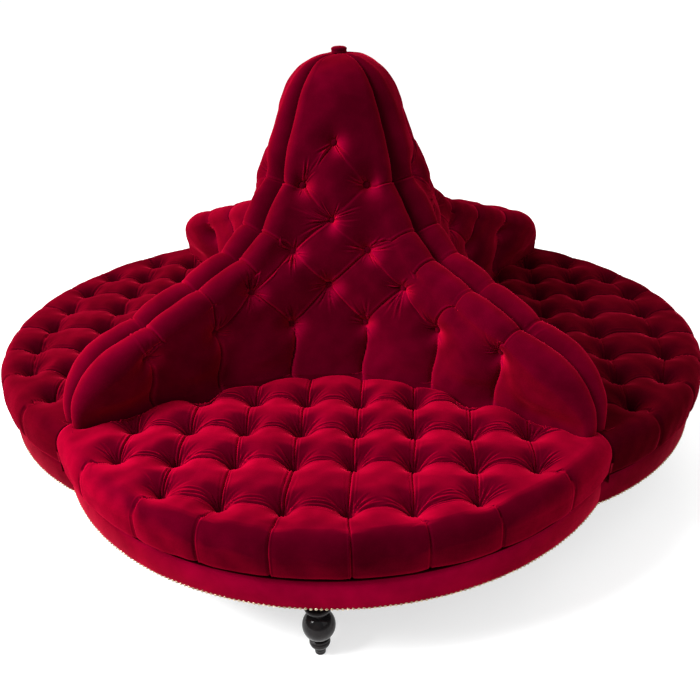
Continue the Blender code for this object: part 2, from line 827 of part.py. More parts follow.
def make_leg():
    """A turned leg: toe, bowl, ball, collar and a top with the bore for its bolt."""
    ball = (0, LEG_BALL_HEIGHT)
    ball_top = LEG_BALL_HEIGHT + LEG_BALL_RADIUS
    ball_low = LEG_BALL_HEIGHT - LEG_BALL_RADIUS
    collar = ball_top + (LEG_COLLAR_RADIUS - LEG_NECK_RADIUS) / 4
    neck = (collar + LEG_HEIGHT) / 2
    start = math.asin(LEG_NECK_RADIUS / LEG_BALL_RADIUS)
    bowl_top = ball_low - (ball_low - LEG_TOE_HEIGHT) / 4
    bore = BOLT_RADIUS + BOLT_PLAY
    bowl_depth = bowl_top - LEG_TOE_HEIGHT
    profile = [
        (0, LEG_HEIGHT - BOLT_IN_LEG - BOLT_PLAY),
        (bore, LEG_HEIGHT - BOLT_IN_LEG - BOLT_PLAY),
        (bore, LEG_HEIGHT),
        (LEG_TOP_RADIUS, LEG_HEIGHT),
        (LEG_TOP_RADIUS, (LEG_HEIGHT + neck) / 2),
        (LEG_NECK_RADIUS, neck),
        (LEG_COLLAR_RADIUS, (neck + collar) / 2),
        (LEG_COLLAR_RADIUS, collar),
    ]
    profile += arc_profile(ball, LEG_BALL_RADIUS, start, HALF_TURN - start, BALL_STEPS)
    profile += [(LEG_BOWL_RADIUS, bowl_top)]
    profile += [
        (LEG_BOWL_RADIUS * math.cos(t) ** 0.5, bowl_top - bowl_depth * math.sin(t))
        for t in (math.pi / 6, math.pi / 3)
    ]
    profile += [
        (LEG_TOE_RADIUS, LEG_TOE_HEIGHT),
        (LEG_TOE_RADIUS, LEG_TOE_RADIUS / 4),
        (LEG_TOE_RADIUS * 3 / 4, 0),
        (0, 0),
    ]
    mesh = turned("leg", profile)
    mesh.transform(Matrix.Translation((0, -LEG_AXIS, 0)))
    return mesh


def make_hanger_bolt():
    low = LEG_HEIGHT - BOLT_IN_LEG
    high = FRAME_BOTTOM + BOLT_IN_RAIL
    return cylinder("hanger_bolt", BOLT_RADIUS, BOLT_RADIUS, low, high, (0, -LEG_AXIS))


def make_inner_foot():
    return cylinder(
        "inner_foot", INNER_FOOT_RADIUS, INNER_FOOT_TOE, 0, LEG_HEIGHT, inner_foot_place()
    )


def make_wing_rib():
    """The upright rib under a ridge, cut to the ridge's outline and inset from it."""
    top = BACK_TOP - POST_TOP_DROP
    inner = POST_HALF + GAP
    edge = [level.rib_edge() for level in back_levels()]
    outline = [(point.to_2d().length, point.z) for point in edge]
    outline = [(reach, z) for reach, z in outline if z < top and reach > inner]
    outline = [(outline[0][0], CUSHION_BOTTOM), *outline]
    outline += [(inner, outline[-1][1]), (inner, CUSHION_BOTTOM)]
    mesh = plate("wing_rib", [outline], -RIB_THICKNESS / 2, RIB_THICKNESS / 2)
    mesh.transform(Matrix.Rotation(math.pi / 2, 4, "X"))
    mesh.transform(Matrix.Rotation(-math.pi / 4, 4, "Z"))
    return mesh


def make_centre_post():
    bm = bmesh.new()
    bmesh.ops.create_cube(bm, size=1)
    low, high = FRAME_BOTTOM, BACK_TOP - POST_TOP_DROP
    size = (2 * POST_HALF, 2 * POST_HALF, high - low)
    bmesh.ops.scale(bm, vec=size, verts=bm.verts)
    bmesh.ops.translate(bm, vec=(0, 0, (low + high) / 2), verts=bm.verts)
    bmesh.ops.rotate(bm, matrix=Matrix.Rotation(math.pi / 4, 3, "Z"), verts=bm.verts)
    return mesh_from(bm, "centre_post")


def make_top_cap():
    """The covered button that closes the top, with a bore for its stud."""
    low = BACK_TOP + GAP
    high = low + CAP_HEIGHT
    bore = CAP_STUD_RADIUS + BOLT_PLAY
    waist = CAP_RADIUS - CAP_HEIGHT / 8
    profile = [
        (0, high),
        (CAP_RADIUS - CAP_HEIGHT / 4, high),
        (CAP_RADIUS, high - CAP_HEIGHT / 5),
        (waist, high - CAP_HEIGHT / 2),
        (CAP_RADIUS, low),
        (bore, low),
        (bore, low + CAP_HEIGHT / 2),
        (0, low + CAP_HEIGHT / 2),
    ]
    return turned("top_cap", profile)


def make_cap_stud():
    low = BACK_TOP - POST_TOP_DROP + GAP
    high = BACK_TOP + CAP_HEIGHT / 2
    return cylinder("cap_stud", CAP_STUD_RADIUS, CAP_STUD_RADIUS, low, high)


def make_sofa():
    for old in list(bpy.data.objects):
        bpy.data.objects.remove(old)
    collection = bpy.data.collections.new("round_sofa")
    bpy.context.scene.collection.children.link(collection)

    velvet = material("crimson_velvet", (0.36, 0.003, 0.025), 0.85, sheen=0.8)
    piping = material("velvet_piping", (0.30, 0.003, 0.020), 0.85, sheen=0.8)
    metal = material("antique_nails", (0.42, 0.33, 0.22), 0.35, metallic=1.0)
    lacquer = material("black_lacquer", (0.010, 0.009, 0.010), 0.12)
    timber = material("frame_timber", (0.55, 0.38, 0.22), 0.60)
    plywood = material("plywood", (0.62, 0.46, 0.28), 0.65)
    cambric = material("black_cambric", (0.02, 0.02, 0.02), 0.90)
    steel = material("plated_steel", (0.60, 0.60, 0.62), 0.30, metallic=1.0)

    place_quarters("seat_cushion", make_seat_cushion(), velvet, collection)
    place_quarters("back_cushion", make_back_cushion(), velvet, collection)
    place_quarters("border_band", make_border_band(), velvet, collection)
    place_quarters("seam_welt", make_welt(), piping, collection)
    place_quarters("nail_strip", make_nail_strip(), metal, collection)
    place_quarters("seat_deck", make_seat_deck(), plywood, collection)
    place_quarters("seat_frame", make_seat_frame(), timber, collection)
    place_quarters("dust_cover", make_dust_cover(), cambric, collection)
    place_quarters("back_board", make_back_board(), plywood, collection)
    place_quarters("leg", make_leg(), lacquer, collection)
    place_quarters("hanger_bolt", make_hanger_bolt(), steel, collection)
    place_quarters("inner_foot", make_inner_foot(), timber, collection)
    place_quarters("wing_rib", make_wing_rib(), plywood, collection)
    place("centre_post", make_centre_post(), timber, collection)
    place("top_cap", make_top_cap(), velvet, collection)
    place("cap_stud", make_cap_stud(), timber, collection)


make_sofa()
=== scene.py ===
# %% [markdown]
# # A round buttoned sofa
#
# This is the sofa that stands in the middle of a lobby: four lobed seats face outward
# round one tall back, and everything that shows is covered in crimson velvet. The packed
# CAD model is loaded first. It is the frame that every dressed piece is measured against,
# so no piece here has to be fitted by eye.

# %% Load the frame
import math

import bmesh
import bpy
import numpy as np
from mathutils import Matrix, Vector


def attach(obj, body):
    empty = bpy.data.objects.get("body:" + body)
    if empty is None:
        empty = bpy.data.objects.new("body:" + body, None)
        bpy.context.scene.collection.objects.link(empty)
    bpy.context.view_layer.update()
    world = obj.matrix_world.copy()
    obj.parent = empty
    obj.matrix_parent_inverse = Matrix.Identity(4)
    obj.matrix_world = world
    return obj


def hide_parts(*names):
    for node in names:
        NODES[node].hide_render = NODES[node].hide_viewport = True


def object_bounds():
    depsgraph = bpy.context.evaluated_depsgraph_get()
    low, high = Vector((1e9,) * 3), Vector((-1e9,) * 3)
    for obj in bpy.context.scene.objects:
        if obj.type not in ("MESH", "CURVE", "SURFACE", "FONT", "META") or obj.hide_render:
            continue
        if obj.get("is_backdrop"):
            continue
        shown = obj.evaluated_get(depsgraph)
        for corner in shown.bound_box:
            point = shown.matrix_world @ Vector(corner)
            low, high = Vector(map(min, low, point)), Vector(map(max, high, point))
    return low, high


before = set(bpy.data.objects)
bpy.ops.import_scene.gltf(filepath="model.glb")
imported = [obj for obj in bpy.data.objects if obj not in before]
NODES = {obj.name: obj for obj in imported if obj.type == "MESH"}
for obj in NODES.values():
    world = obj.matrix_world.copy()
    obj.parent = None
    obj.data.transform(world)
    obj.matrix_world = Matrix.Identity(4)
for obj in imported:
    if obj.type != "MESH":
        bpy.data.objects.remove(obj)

CAD_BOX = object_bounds()
print("CAD nodes:", len(NODES), "box:", CAD_BOX)

# %% [markdown]
# ## Sizes
#
# The same few sizes shaped the CAD: the circle of a seat's lobe, the heights of the band
# and the seat, and the sweep of the back. They are written here once more, in metres,
# because the dressed surfaces follow the same curves with many more points.

# %% Sizes of the sofa
LOBE_RADIUS = 0.915
LOBE_OFFSET = 0.3177
EDGE_RADIUS = 0.885
BAND_BOTTOM = 0.225
BAND_TOP = 0.3205
BAND_CROWN = 0.004
CUSHION_BOTTOM = 0.3158
CROWN = 0.4615
SEAT_LINE = 0.45493
BACK_RISE = 0.937
BACK_DEPTH = 0.430
BACK_PAD = 0.070
BACK_ROLL = 0.050
RIB_INSET = 0.072
SEAT_PITCH = 0.165
LEG_AXIS = 1.1547
GAP = 0.0003
MERGE_REACH = 0.00002
FACE_TURN = math.radians(60)
QUARTERS = {"front": 0, "right": 1, "rear": 2, "left": 3}
DIAGONAL = math.sqrt(0.5)
# OUT runs along the right-hand ridge, and ASIDE from there into the front quarter
ACROSS = np.array((1.0, 0.0, 0.0))
FORWARD = np.array((0.0, -1.0, 0.0))
OUT = np.array((DIAGONAL, -DIAGONAL, 0.0))
ASIDE = np.array((-DIAGONAL, -DIAGONAL, 0.0))
UP = np.array((0.0, 0.0, 1.0))


def lobe_angle(radius):
    """Half the angle of a lobe's arc of this radius, up to the line between the lobes."""
    return math.pi / 4 + math.asin((LOBE_OFFSET - GAP) * DIAGONAL / radius)


def lobe_place(radius, angle, z):
    """Points on a lobe's arcs, from arrays of radius, angle and height."""
    radius, angle, z = np.broadcast_arrays(radius, angle, z)
    return np.stack((radius * np.sin(angle), -LOBE_OFFSET - radius * np.cos(angle), z), -1)


WING_REACH = math.hypot(*lobe_place(EDGE_RADIUS, lobe_angle(EDGE_RADIUS), 0)[:2])
print("Wing reaches", round(WING_REACH, 4), "m from the centre")

# %% [markdown]
# ## Velvet
#
# Velvet is a dense pile of short hairs. Seen from straight on it swallows light, and at a
# grazing angle the hair tips catch it, so each fold gets a bright rim and a dark face.
# A plain rough colour can't do that. The shader's sheen does the rim, and a facing
# weight brightens the colour toward the rim as painted sheen. Noise at two scales
# stands for pile that was brushed this way and that, and a fine bump for the hairs.
# Painted highlights brighten the lips of pleats and wrinkles and one side of each
# button's pit. The surface carries them as a value of its own.
# A ramp by height paints shade too: darker down each seat's rolled edge, near-black in the groove of its
# seam, and darker toward the top of the back.


# %% Material helpers
# The Mix node holds a set of sockets for each kind of data, and these are its colour ones
MIX_WEIGHT, MIX_FIRST, MIX_SECOND, MIX_RESULT = 0, 6, 7, 2


def node(tree, kind, **values):
    """A shader node, with its sockets set by name and its properties by attribute."""
    made = tree.nodes.new(kind)
    for key, value in values.items():
        if key in made.inputs:
            made.inputs[key].default_value = value
        else:
            setattr(made, key, value)
    return made


def new_material(name):
    """A material, its node tree, its shader and the piece's own coordinates."""
    made = bpy.data.materials.new(name)
    made.use_nodes = True
    tree = made.node_tree
    coords = node(tree, "ShaderNodeTexCoord").outputs["Object"]
    return made, tree, tree.nodes["Principled BSDF"], coords


def noise(tree, coords, scale, detail=3.0, distortion=0.0):
    made = node(tree, "ShaderNodeTexNoise", Scale=scale, Detail=detail, Distortion=distortion)
    tree.links.new(coords, made.inputs["Vector"])
    return made.outputs["Fac"]


def ramp(tree, source, *stops):
    """A colour ramp through (position, colour) stops. A single number stands for a grey."""
    made = node(tree, "ShaderNodeValToRGB")
    band = made.color_ramp
    while len(band.elements) < len(stops):
        band.elements.new(0.5)
    for element, (position, colour) in zip(band.elements, stops):
        element.position = position
        element.color = (*colour, 1.0) if isinstance(colour, tuple) else (colour,) * 3 + (1.0,)
    tree.links.new(source, made.inputs["Fac"])
    return made.outputs["Color"]


def multiply(tree, first, second):
    """Two colours multiplied."""
    made = node(tree, "ShaderNodeMix", data_type="RGBA", blend_type="MULTIPLY")
    made.inputs[MIX_WEIGHT].default_value = 1.0
    tree.links.new(first, made.inputs[MIX_FIRST])
    tree.links.new(second, made.inputs[MIX_SECOND])
    return made.outputs[MIX_RESULT]


def bump(tree, height, strength, distance):
    made = node(tree, "ShaderNodeBump", Strength=strength, Distance=distance)
    tree.links.new(height, made.inputs["Height"])
    return made.outputs["Normal"]


def height_of(tree, coords):
    """The upward part of some coordinates."""
    split = node(tree, "ShaderNodeSeparateXYZ")
    tree.links.new(coords, split.inputs["Vector"])
    return split.outputs["Z"]


def finish(tree, shader, sources, values):
    """Links sources to a shader and sets its constants, both by the names of its sockets."""
    for socket, source in sources.items():
        tree.links.new(source, shader.inputs[socket])
    for socket, value in values.items():
        shader.inputs[socket].default_value = value


print("Helpers made: node, new_material, noise, ramp, multiply, bump, height_of, finish")

# %% Velvet
CRIMSON_RIM = (1.0, 0.020, 0.070)
BAND_RIM = (1.0, 0.10, 0.15)
NO_HEIGHT_SHADE = ((0.3, 1.0), (0.4, 1.0))
# Ramps by height that paint shade: the back darker toward its top, each seat darker down its rolled edge
# and near-black in the seam groove below it
BACK_HEIGHT_SHADE = ((0.70, 1.10), (0.98, 0.78))
ROLL_PAINTED_SHADE = ((0.3430, 0.03), (0.3485, 0.50), (0.395, 0.54), (0.450, 1.0))


def make_velvet(name, tone, lift, height_shade=NO_HEIGHT_SHADE, tint=CRIMSON_RIM, sheen=0.30):
    """Velvet with its tone, its lightness from straight on, and (height, share) stops of painted shade.
    """
    made, tree, shader, coords = new_material(name)
    stops = (
        (0.0, (0.044 * lift, 0.00002, 0.0042 * lift)),
        (0.20, (0.070 * lift, 0.00005, 0.0060 * lift)),
        (0.50, (0.200 * tone, 0.0004, 0.0110 * tone)),
        (1.0, (0.400 * tone, 0.0012, 0.0230 * tone)),
    )
    # Painted sheen: the base colour brightens from facing to grazing angles
    facing = node(tree, "ShaderNodeLayerWeight", Blend=0.42).outputs["Facing"]
    colour = ramp(tree, facing, *stops)
    highlighted = node(tree, "ShaderNodeAttribute", attribute_name="painted_highlight").outputs["Fac"]
    shades = (
        ramp(tree, noise(tree, coords, 5.0, 3.0, 0.8), (0.3, 0.80), (0.7, 1.20)),
        ramp(tree, noise(tree, coords, 26.0, 2.0, 0.4), (0.3, 0.92), (0.7, 1.08)),
        # painted shade by height
        ramp(tree, height_of(tree, coords), *height_shade),
        # painted highlight on lips and on one side of the pits
        ramp(tree, highlighted, (0.0, 1.0), (1.0, 2.7)),
    )
    for shade in shades:
        colour = multiply(tree, colour, shade)
    sources = {
        "Base Color": colour,
        "Normal": bump(tree, noise(tree, coords, 950.0, 2.0), 0.35, 0.0006),
    }
    values = {
        "Roughness": 0.85,
        "Specular IOR Level": 0.0,
        "Sheen Weight": sheen,
        "Sheen Roughness": 0.28,
        "Sheen Tint": (*tint, 1.0),
    }
    finish(tree, shader, sources, values)
    return made


BACK_VELVET = make_velvet("crimson_velvet_back", 0.60, 1.07, BACK_HEIGHT_SHADE)
# Lit and shaded copies of one velvet, as painted light and shade: the front seat lightest, the rear a
# little darker, the left and right seats darkest
SEAT_VELVET = {
    "front": make_velvet("crimson_velvet_front_seat", 1.14, 0.96, ROLL_PAINTED_SHADE),
    "right": make_velvet("crimson_velvet_right_seat", 0.31, 0.44, ROLL_PAINTED_SHADE),
    "rear": make_velvet("crimson_velvet_rear_seat", 0.80, 0.9, ROLL_PAINTED_SHADE),
    "left": make_velvet("crimson_velvet_left_seat", 0.48, 0.50, ROLL_PAINTED_SHADE),
}
BAND_VELVET = make_velvet("crimson_velvet_band", 0.74, 2.5, tint=BAND_RIM)
# The side bands are a darker copy of the band's velvet, as painted shade
SIDE_BAND_VELVET = make_velvet("crimson_velvet_side_band", 0.42, 1.6, tint=BAND_RIM)
# Near-black piping, with almost no sheen, paints the shade of the seam line
PIPING_PAINTED_SHADE = make_velvet("crimson_velvet_piping_painted_shade", 0.06, 0.20, sheen=0.02)
print("Velvets:", len(bpy.data.materials))

# %% [markdown]
# ## Metal, lacquer and the hidden materials
#
# The nail heads are aged brass, brown in some patches and half bright in others. The leg is
# turned hardwood under many coats of black lacquer: the coat gives the sharp highlights,
# and faint waves in it keep them from looking like plastic. Timber, plywood, lining cloth
# and steel are finished too, though the sofa hides them.


# %% Brass, lacquer and steel
def make_aged_brass():
    made, tree, shader, coords = new_material("aged_brass_nails")
    worn = noise(tree, coords, 140.0, 4.0, 0.5)
    sources = {
        "Base Color": ramp(tree, worn, (0.35, (0.20, 0.15, 0.09)), (0.65, (0.60, 0.49, 0.34))),
        "Roughness": ramp(tree, worn, (0.3, 0.55), (0.7, 0.28)),
        "Normal": bump(tree, noise(tree, coords, 900.0), 0.2, 0.0003),
    }
    finish(tree, shader, sources, {"Metallic": 1.0})
    return made


def make_lacquer():
    made, tree, shader, coords = new_material("black_lacquered_wood")
    waves = noise(tree, coords, 30.0, 2.0, 0.6)
    dust = noise(tree, coords, 500.0, 3.0)
    sources = {
        "Base Color": ramp(tree, waves, (0.3, (0.006, 0.005, 0.006)), (0.7, (0.014, 0.011, 0.011))),
        "Roughness": ramp(tree, dust, (0.4, 0.06), (0.75, 0.16)),
        "Normal": bump(tree, waves, 0.12, 0.002),
    }
    values = {"Coat Weight": 0.10, "Coat Roughness": 0.04, "Specular IOR Level": 0.09}
    finish(tree, shader, sources, values)
    return made


def make_steel():
    made, tree, shader, coords = new_material("plated_steel")
    spangle = noise(tree, coords, 220.0, 4.0)
    sources = {
        "Base Color": ramp(tree, spangle, (0.3, (0.45, 0.45, 0.47)), (0.7, (0.68, 0.68, 0.70))),
        "Roughness": ramp(tree, spangle, (0.3, 0.42), (0.7, 0.26)),
    }
    finish(tree, shader, sources, {"Metallic": 1.0})
    return made


BRASS = make_aged_brass()
LACQUER = make_lacquer()
STEEL = make_steel()
print("Hard finishes:", BRASS.name, LACQUER.name, STEEL.name)


# %% Wood and lining cloth
def make_wood(name, pale, dark, stretch, scale):
    """Bare wood: a noise that is stretched along the grain, with fine pores in it."""
    made, tree, shader, coords = new_material(name)
    mapping = node(tree, "ShaderNodeMapping", Scale=stretch)
    tree.links.new(coords, mapping.inputs["Vector"])
    grain = noise(tree, mapping.outputs["Vector"], scale, 5.0, 1.2)
    pores = noise(tree, mapping.outputs["Vector"], scale * 9, 3.0)
    sources = {
        "Base Color": ramp(tree, grain, (0.3, dark), (0.7, pale)),
        "Normal": bump(tree, pores, 0.25, 0.0008),
    }
    finish(tree, shader, sources, {"Roughness": 0.62})
    return made


def make_cambric():
    made, tree, shader, coords = new_material("black_lining_cloth")
    weave = node(tree, "ShaderNodeTexChecker", Scale=900.0)
    tree.links.new(coords, weave.inputs["Vector"])
    faded = noise(tree, coords, 60.0)
    sources = {
        "Base Color": ramp(tree, faded, (0.3, (0.010, 0.010, 0.011)), (0.7, (0.028, 0.028, 0.030))),
        "Normal": bump(tree, weave.outputs["Fac"], 0.3, 0.0002),
    }
    finish(tree, shader, sources, {"Roughness": 0.92})
    return made


BEECH = make_wood("planed_beech", (0.58, 0.40, 0.24), (0.44, 0.27, 0.14), (1.0, 1.0, 14.0), 3.0)
PLYWOOD = make_wood("birch_plywood", (0.66, 0.50, 0.32), (0.55, 0.38, 0.21), (9.0, 1.0, 1.0), 4.0)
CAMBRIC = make_cambric()
print("Soft and wooden finishes:", BEECH.name, PLYWOOD.name, CAMBRIC.name)

# %% Finish the hidden pieces
HIDDEN = {
    "seat_deck": PLYWOOD,
    "seat_frame": BEECH,
    "dust_cover": CAMBRIC,
    "back_board": PLYWOOD,
    "hanger_bolt": STEEL,
    "inner_foot": BEECH,
    "wing_rib": PLYWOOD,
    "centre_post": BEECH,
    "cap_stud": BEECH,
}
finished = 0
for name, carried in NODES.items():
    for part_name, material in HIDDEN.items():
        if name.startswith(part_name):
            carried.data.materials.clear()
            carried.data.materials.append(material)
            finished += 1
print("Hidden pieces finished:", finished)

# %% [markdown]
# ## Putting a piece in the sofa
#
# Each quarter of the sofa is the front quarter turned about the centre. A piece is
# modelled once in the front quarter. Its mesh is then copied and turned, so that every
# object stays at the origin and its place is in its vertices, as a CAD node's is.


# %% Finishing helpers
CREASE = 50


def add_piece(name, mesh, material):
    """A mesh as a piece of the sofa, which is all one body."""
    mesh.materials.clear()
    mesh.materials.append(material)
    piece = bpy.data.objects.new(name, mesh)
    bpy.context.scene.collection.objects.link(piece)
    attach(piece, "root")
    return piece


def mesh_of(bm, name, smooth=True, sharp=None):
    """A mesh from a bmesh, with its edges kept sharp past an angle in degrees."""
    mesh = bpy.data.meshes.new(name)
    bm.to_mesh(mesh)
    bm.free()
    if smooth:
        mesh.shade_smooth()
    if sharp:
        mesh.set_sharp_from_angle(angle=math.radians(sharp))
    return mesh


def add_quarters(name, mesh, material, replaced=None, quarters=QUARTERS):
    """The same mesh in several quarters, each turned into place."""
    for quarter in quarters:
        copy = mesh.copy()
        copy.name = f"{name}_{quarter}"
        copy.transform(Matrix.Rotation(QUARTERS[quarter] * math.pi / 2, 4, "Z"))
        piece = add_piece(f"{name}_{quarter}", copy, material)
        if replaced:
            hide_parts(f"{replaced}_{quarter}")
    print(name, "x", len(quarters), "-", len(mesh.polygons), "faces each")


print("Helpers made: add_piece, mesh_of, add_quarters")

# %% [markdown]
# ## How buttoned upholstery is shaped
#
# The cover is drawn down to a button with twine, and the spare cloth between two buttons
# is folded into a pleat, so each field between four buttons stands up as a round pillow.
# A cloth simulation could shape it, but it would take long at this size, and where each
# fold falls would be left to chance. So the points are moved by formula instead, in the
# order of the real work. First comes the smooth shape of the padding, as a fine grid.
# Then each grid point is drawn in along its normal by what lies near it: a pit round each
# button, a sharp groove along each pleat, and fans of small wrinkles that run out of the
# pits. Points close to a pleat are first slid onto its line, because a groove only looks
# crisp where a row of vertices follows it.


# %% Fields round paths and buttons
def reach_along(path):
    """How far along a path each of its points lies."""
    return np.concatenate(([0.0], np.cumsum(np.linalg.norm(np.diff(path, axis=0), axis=1))))


def along(points, path, reach):
    """Points near a path: indices, distance, share along it, offset from it, and its span."""
    low, high = path.min(0) - reach, path.max(0) + reach
    near = np.nonzero(((points > low) & (points < high)).all(1))[0]
    run = path[1:] - path[:-1]
    length = np.linalg.norm(run, axis=1)
    before = reach_along(path)
    offset = points[near, None] - path[None, :-1]
    t = np.clip((offset * run).sum(2) / (length**2), 0, 1)
    offset = offset - t[..., None] * run
    away = np.linalg.norm(offset, axis=2)
    best = away.argmin(1)
    rows = np.arange(len(near))
    share = (before[best] + t[rows, best] * length[best]) / before[-1]
    keep = away[rows, best] < reach
    return near[keep], away[rows, best][keep], share[keep], offset[rows, best][keep], best[keep]


def pillow_side(away, width, round_share=0.55):
    """1 on a pleat and 0 at a width from it, round as the side of a pillow."""
    t = np.clip(1 - away / width, 0, 1)
    rounded = 1 - np.sqrt(np.clip(1 - t**2, 0, 1))
    return round_share * rounded + (1 - round_share) * t**2


def smooth_step(value, low, high):
    t = np.clip((value - low) / (high - low), 0, 1)
    return t * t * (3 - 2 * t)


def bell(distance, width):
    """1 on a line, falling softly to next to nothing at twice a width from it."""
    return np.exp(-((distance / width) ** 2))


print("Half way down its side a pillow stands at", round(float(1 - pillow_side(0.5, 1.0)), 2))


# %% The cover
class Cover:
    """A sheet of velvet: its smooth points, their normals, and how far each is drawn in.

    Pits and pleats join through a power, so that where two meet the deeper one wins.
    """

    POWER = 4
    PLEAT_ROUNDING = 0.0011
    BUTTON_FLAT = 0.0105

    def __init__(self, sheet, normals, spacing):
        self.shape = sheet.shape
        self.points = sheet.reshape(-1, 3).copy()
        self.normals = normals.reshape(-1, 3)
        self.spacing = spacing
        self.drawn = np.zeros(len(self.points))
        self.relief = np.zeros(len(self.points))
        self.kept = np.ones(len(self.points))
        # How much painted highlight each point gets, which brightens the velvet's colour
        self.painted_highlight = np.zeros(len(self.points))

    def snap(self, path):
        near, away, _, offset, _ = along(self.points, path, self.spacing)
        self.points[near] -= offset * (1 - away / self.spacing)[:, None] ** 0.25

    def pleat(self, path, start, middle, end, width, full=0.55):
        """Draws the cover in along a path, by its depths at the start, middle and end."""
        near, away, share, _, _ = along(self.points, path, width)
        away = np.sqrt(away**2 + self.PLEAT_ROUNDING**2) - self.PLEAT_ROUNDING
        rise = np.abs(2 * share - 1) ** 2.6
        outer = np.where(share < 0.5, start, end)
        depth = middle + (outer - middle) * rise
        self.drawn[near] += (depth * pillow_side(away, width, full)) ** self.POWER

    def beside(self, path, reach):
        """Points near a path: indices, signed distance to its side, and share along it."""
        near, _, share, offset, best = along(self.points, path, reach)
        run = (path[1:] - path[:-1])[best]
        side = np.cross(self.normals[near], run)
        side /= np.maximum(np.linalg.norm(side, axis=1), 1e-9)[:, None]
        return near, (offset * side).sum(1), share

    def tuck(self, path, depth, side, width=0.0026):
        """The sharp line of a folded pleat: a slit, with a high lip on one side of it."""
        near, lateral, share = self.beside(path, 6 * width)
        lateral = lateral * side
        slit = bell(lateral, width)
        lip = bell(lateral - 2.2 * width, 1.3 * width)
        back = bell(lateral + 2.4 * width, 1.5 * width)
        ends = smooth_step(share, 0.02, 0.14) * (0.35 + 0.65 * smooth_step(1 - share, 0.02, 0.14))
        self.relief[near] += (0.62 * lip + 0.18 * back - slit) * depth * ends
        # The lip gets a painted highlight
        self.painted_highlight[near] += 0.30 * lip * ends

    def fold(self, path, shift, depth, width, begin=0.12, stop=0.88, flat=0.3, skew=1.0):
        """A thin groove beside a path, bowed to one side, that fades at both ends."""
        near, lateral, share = self.beside(path, abs(shift) + 4 * width)
        arch = np.sin(math.pi * np.clip(share, 0, 1) ** skew) ** 0.8
        centre = shift * (flat + (1 - flat) * arch)
        groove = bell(lateral - centre, width)
        lip = bell(lateral - centre - np.sign(shift) * 1.9 * width, width)
        ends = smooth_step(share, begin, begin + 0.18) * smooth_step(stop - share, 0.0, 0.18)
        self.relief[near] += (0.75 * lip - groove) * depth * ends
        # The fold's lip gets a weaker painted highlight
        self.painted_highlight[near] += 0.12 * lip * ends

    def pit(self, button, depth, reach):
        away = np.linalg.norm(self.points - button, axis=1)
        near = away < reach
        away = np.clip(away[near] - self.BUTTON_FLAT, 0, None)
        self.drawn[near] += (depth * pillow_side(away, reach - self.BUTTON_FLAT)) ** self.POWER

    def polar(self, button, across, normal, reach):
        """Points near a button: their indices, distance and angle round it."""
        offset = self.points - button
        near = np.nonzero((np.abs(offset) < reach).all(1))[0]
        x, y = offset[near] @ across, offset[near] @ np.cross(normal, across)
        return near, np.hypot(x, y), np.arctan2(y, x)

    def paint_highlight(self, button, across, normal, aim, spread, reach, amount):
        """Paints a highlight on one side of a button, over a sector of the cover."""
        near, away, turn = self.polar(button, across, normal, reach)
        aside = np.abs(np.remainder(turn - math.radians(aim) + math.pi, math.tau) - math.pi)
        sector = 1 - smooth_step(aside, 0.25 * math.radians(spread), math.radians(spread))
        fade = smooth_step(away, 0.006, 0.016) * (1 - smooth_step(away, 0.016, reach))
        self.painted_highlight[near] += amount * sector * fade

    def puff(self, centre, rise, reach):
        """Raises the cover over a pad that is stuffed full, from a height above its foot."""
        away = np.linalg.norm(self.points - centre, axis=1)
        near = away < reach
        clear = smooth_step(self.points[near, 2], SEAT_LINE + 0.004, SEAT_LINE + 0.070)
        self.relief[near] += rise * (1 - (away[near] / reach) ** 2) ** 2 * clear

    def fan(self, button, across, normal, fan, depth, rng):
        """Fine wrinkles out of a pit about one direction: (aim, spread, count, length)."""
        aim, spread, count, length = fan
        near, away, turn = self.polar(button, across, normal, length)
        total = np.zeros(len(near))
        lips = np.zeros(len(near))
        for ray in range(count):
            place = (ray + 0.5 + rng.uniform(-0.4, 0.4)) / count - 0.5
            line = math.radians(aim + spread * place)
            reach = length * rng.uniform(0.50, 1.0)
            bend = rng.uniform(-2.2, 2.2)
            size = depth * rng.uniform(0.40, 1.0)
            lean = rng.choice((-1.0, 1.0))
            around = np.remainder(turn - line - bend * away + math.pi, math.tau) - math.pi
            lateral = away * np.sin(around)
            width = 0.0013 + 0.021 * away
            groove = bell(lateral, width)
            lip = bell(lateral - lean * 1.9 * width, width)
            fade = smooth_step(away, 0.008, 0.018) * (1 - smooth_step(away, 0.25 * reach, reach))
            total += (0.8 * lip - groove) * fade * size * (np.cos(around) > 0)
            lips += lip * fade * size / depth * (np.cos(around) > 0)
        self.relief[near] += total
        # The wrinkles' lips get a painted highlight
        self.painted_highlight[near] += 0.42 * lips

    def unevenness(self, amount, seed):
        """The soft unevenness of hand-laid stuffing, as long smooth waves."""
        x, y, z = self.points.T
        waves = np.sin(31 * x + 17 * z + seed) * np.sin(27 * y - 23 * z + 1.7 * seed)
        waves += 0.5 * np.sin(67 * x - 41 * y + 2.3 * seed) * np.sin(53 * z + 37 * y + seed)
        self.relief += amount * waves

    def depth_at(self, spot):
        """The finished point and the smooth normal nearest to a button's place."""
        nearest = np.linalg.norm(self.points - spot, axis=1).argmin()
        return self.finished().reshape(-1, 3)[nearest], self.normals[nearest]

    def finished(self):
        """The sheet's points after everything was drawn in."""
        drawn = self.drawn ** (1 / self.POWER) - self.relief
        return (self.points - self.normals * (drawn * self.kept)[:, None]).reshape(self.shape)

    def painted_highlights(self):
        """The painted highlight, as rows and columns of the sheet."""
        return self.painted_highlight.reshape(self.shape[:2])


print("A cover joins its pits and pleats with a power of", Cover.POWER)


# %% Skins from sheets of points
SKIN_MERGE = 0.00005


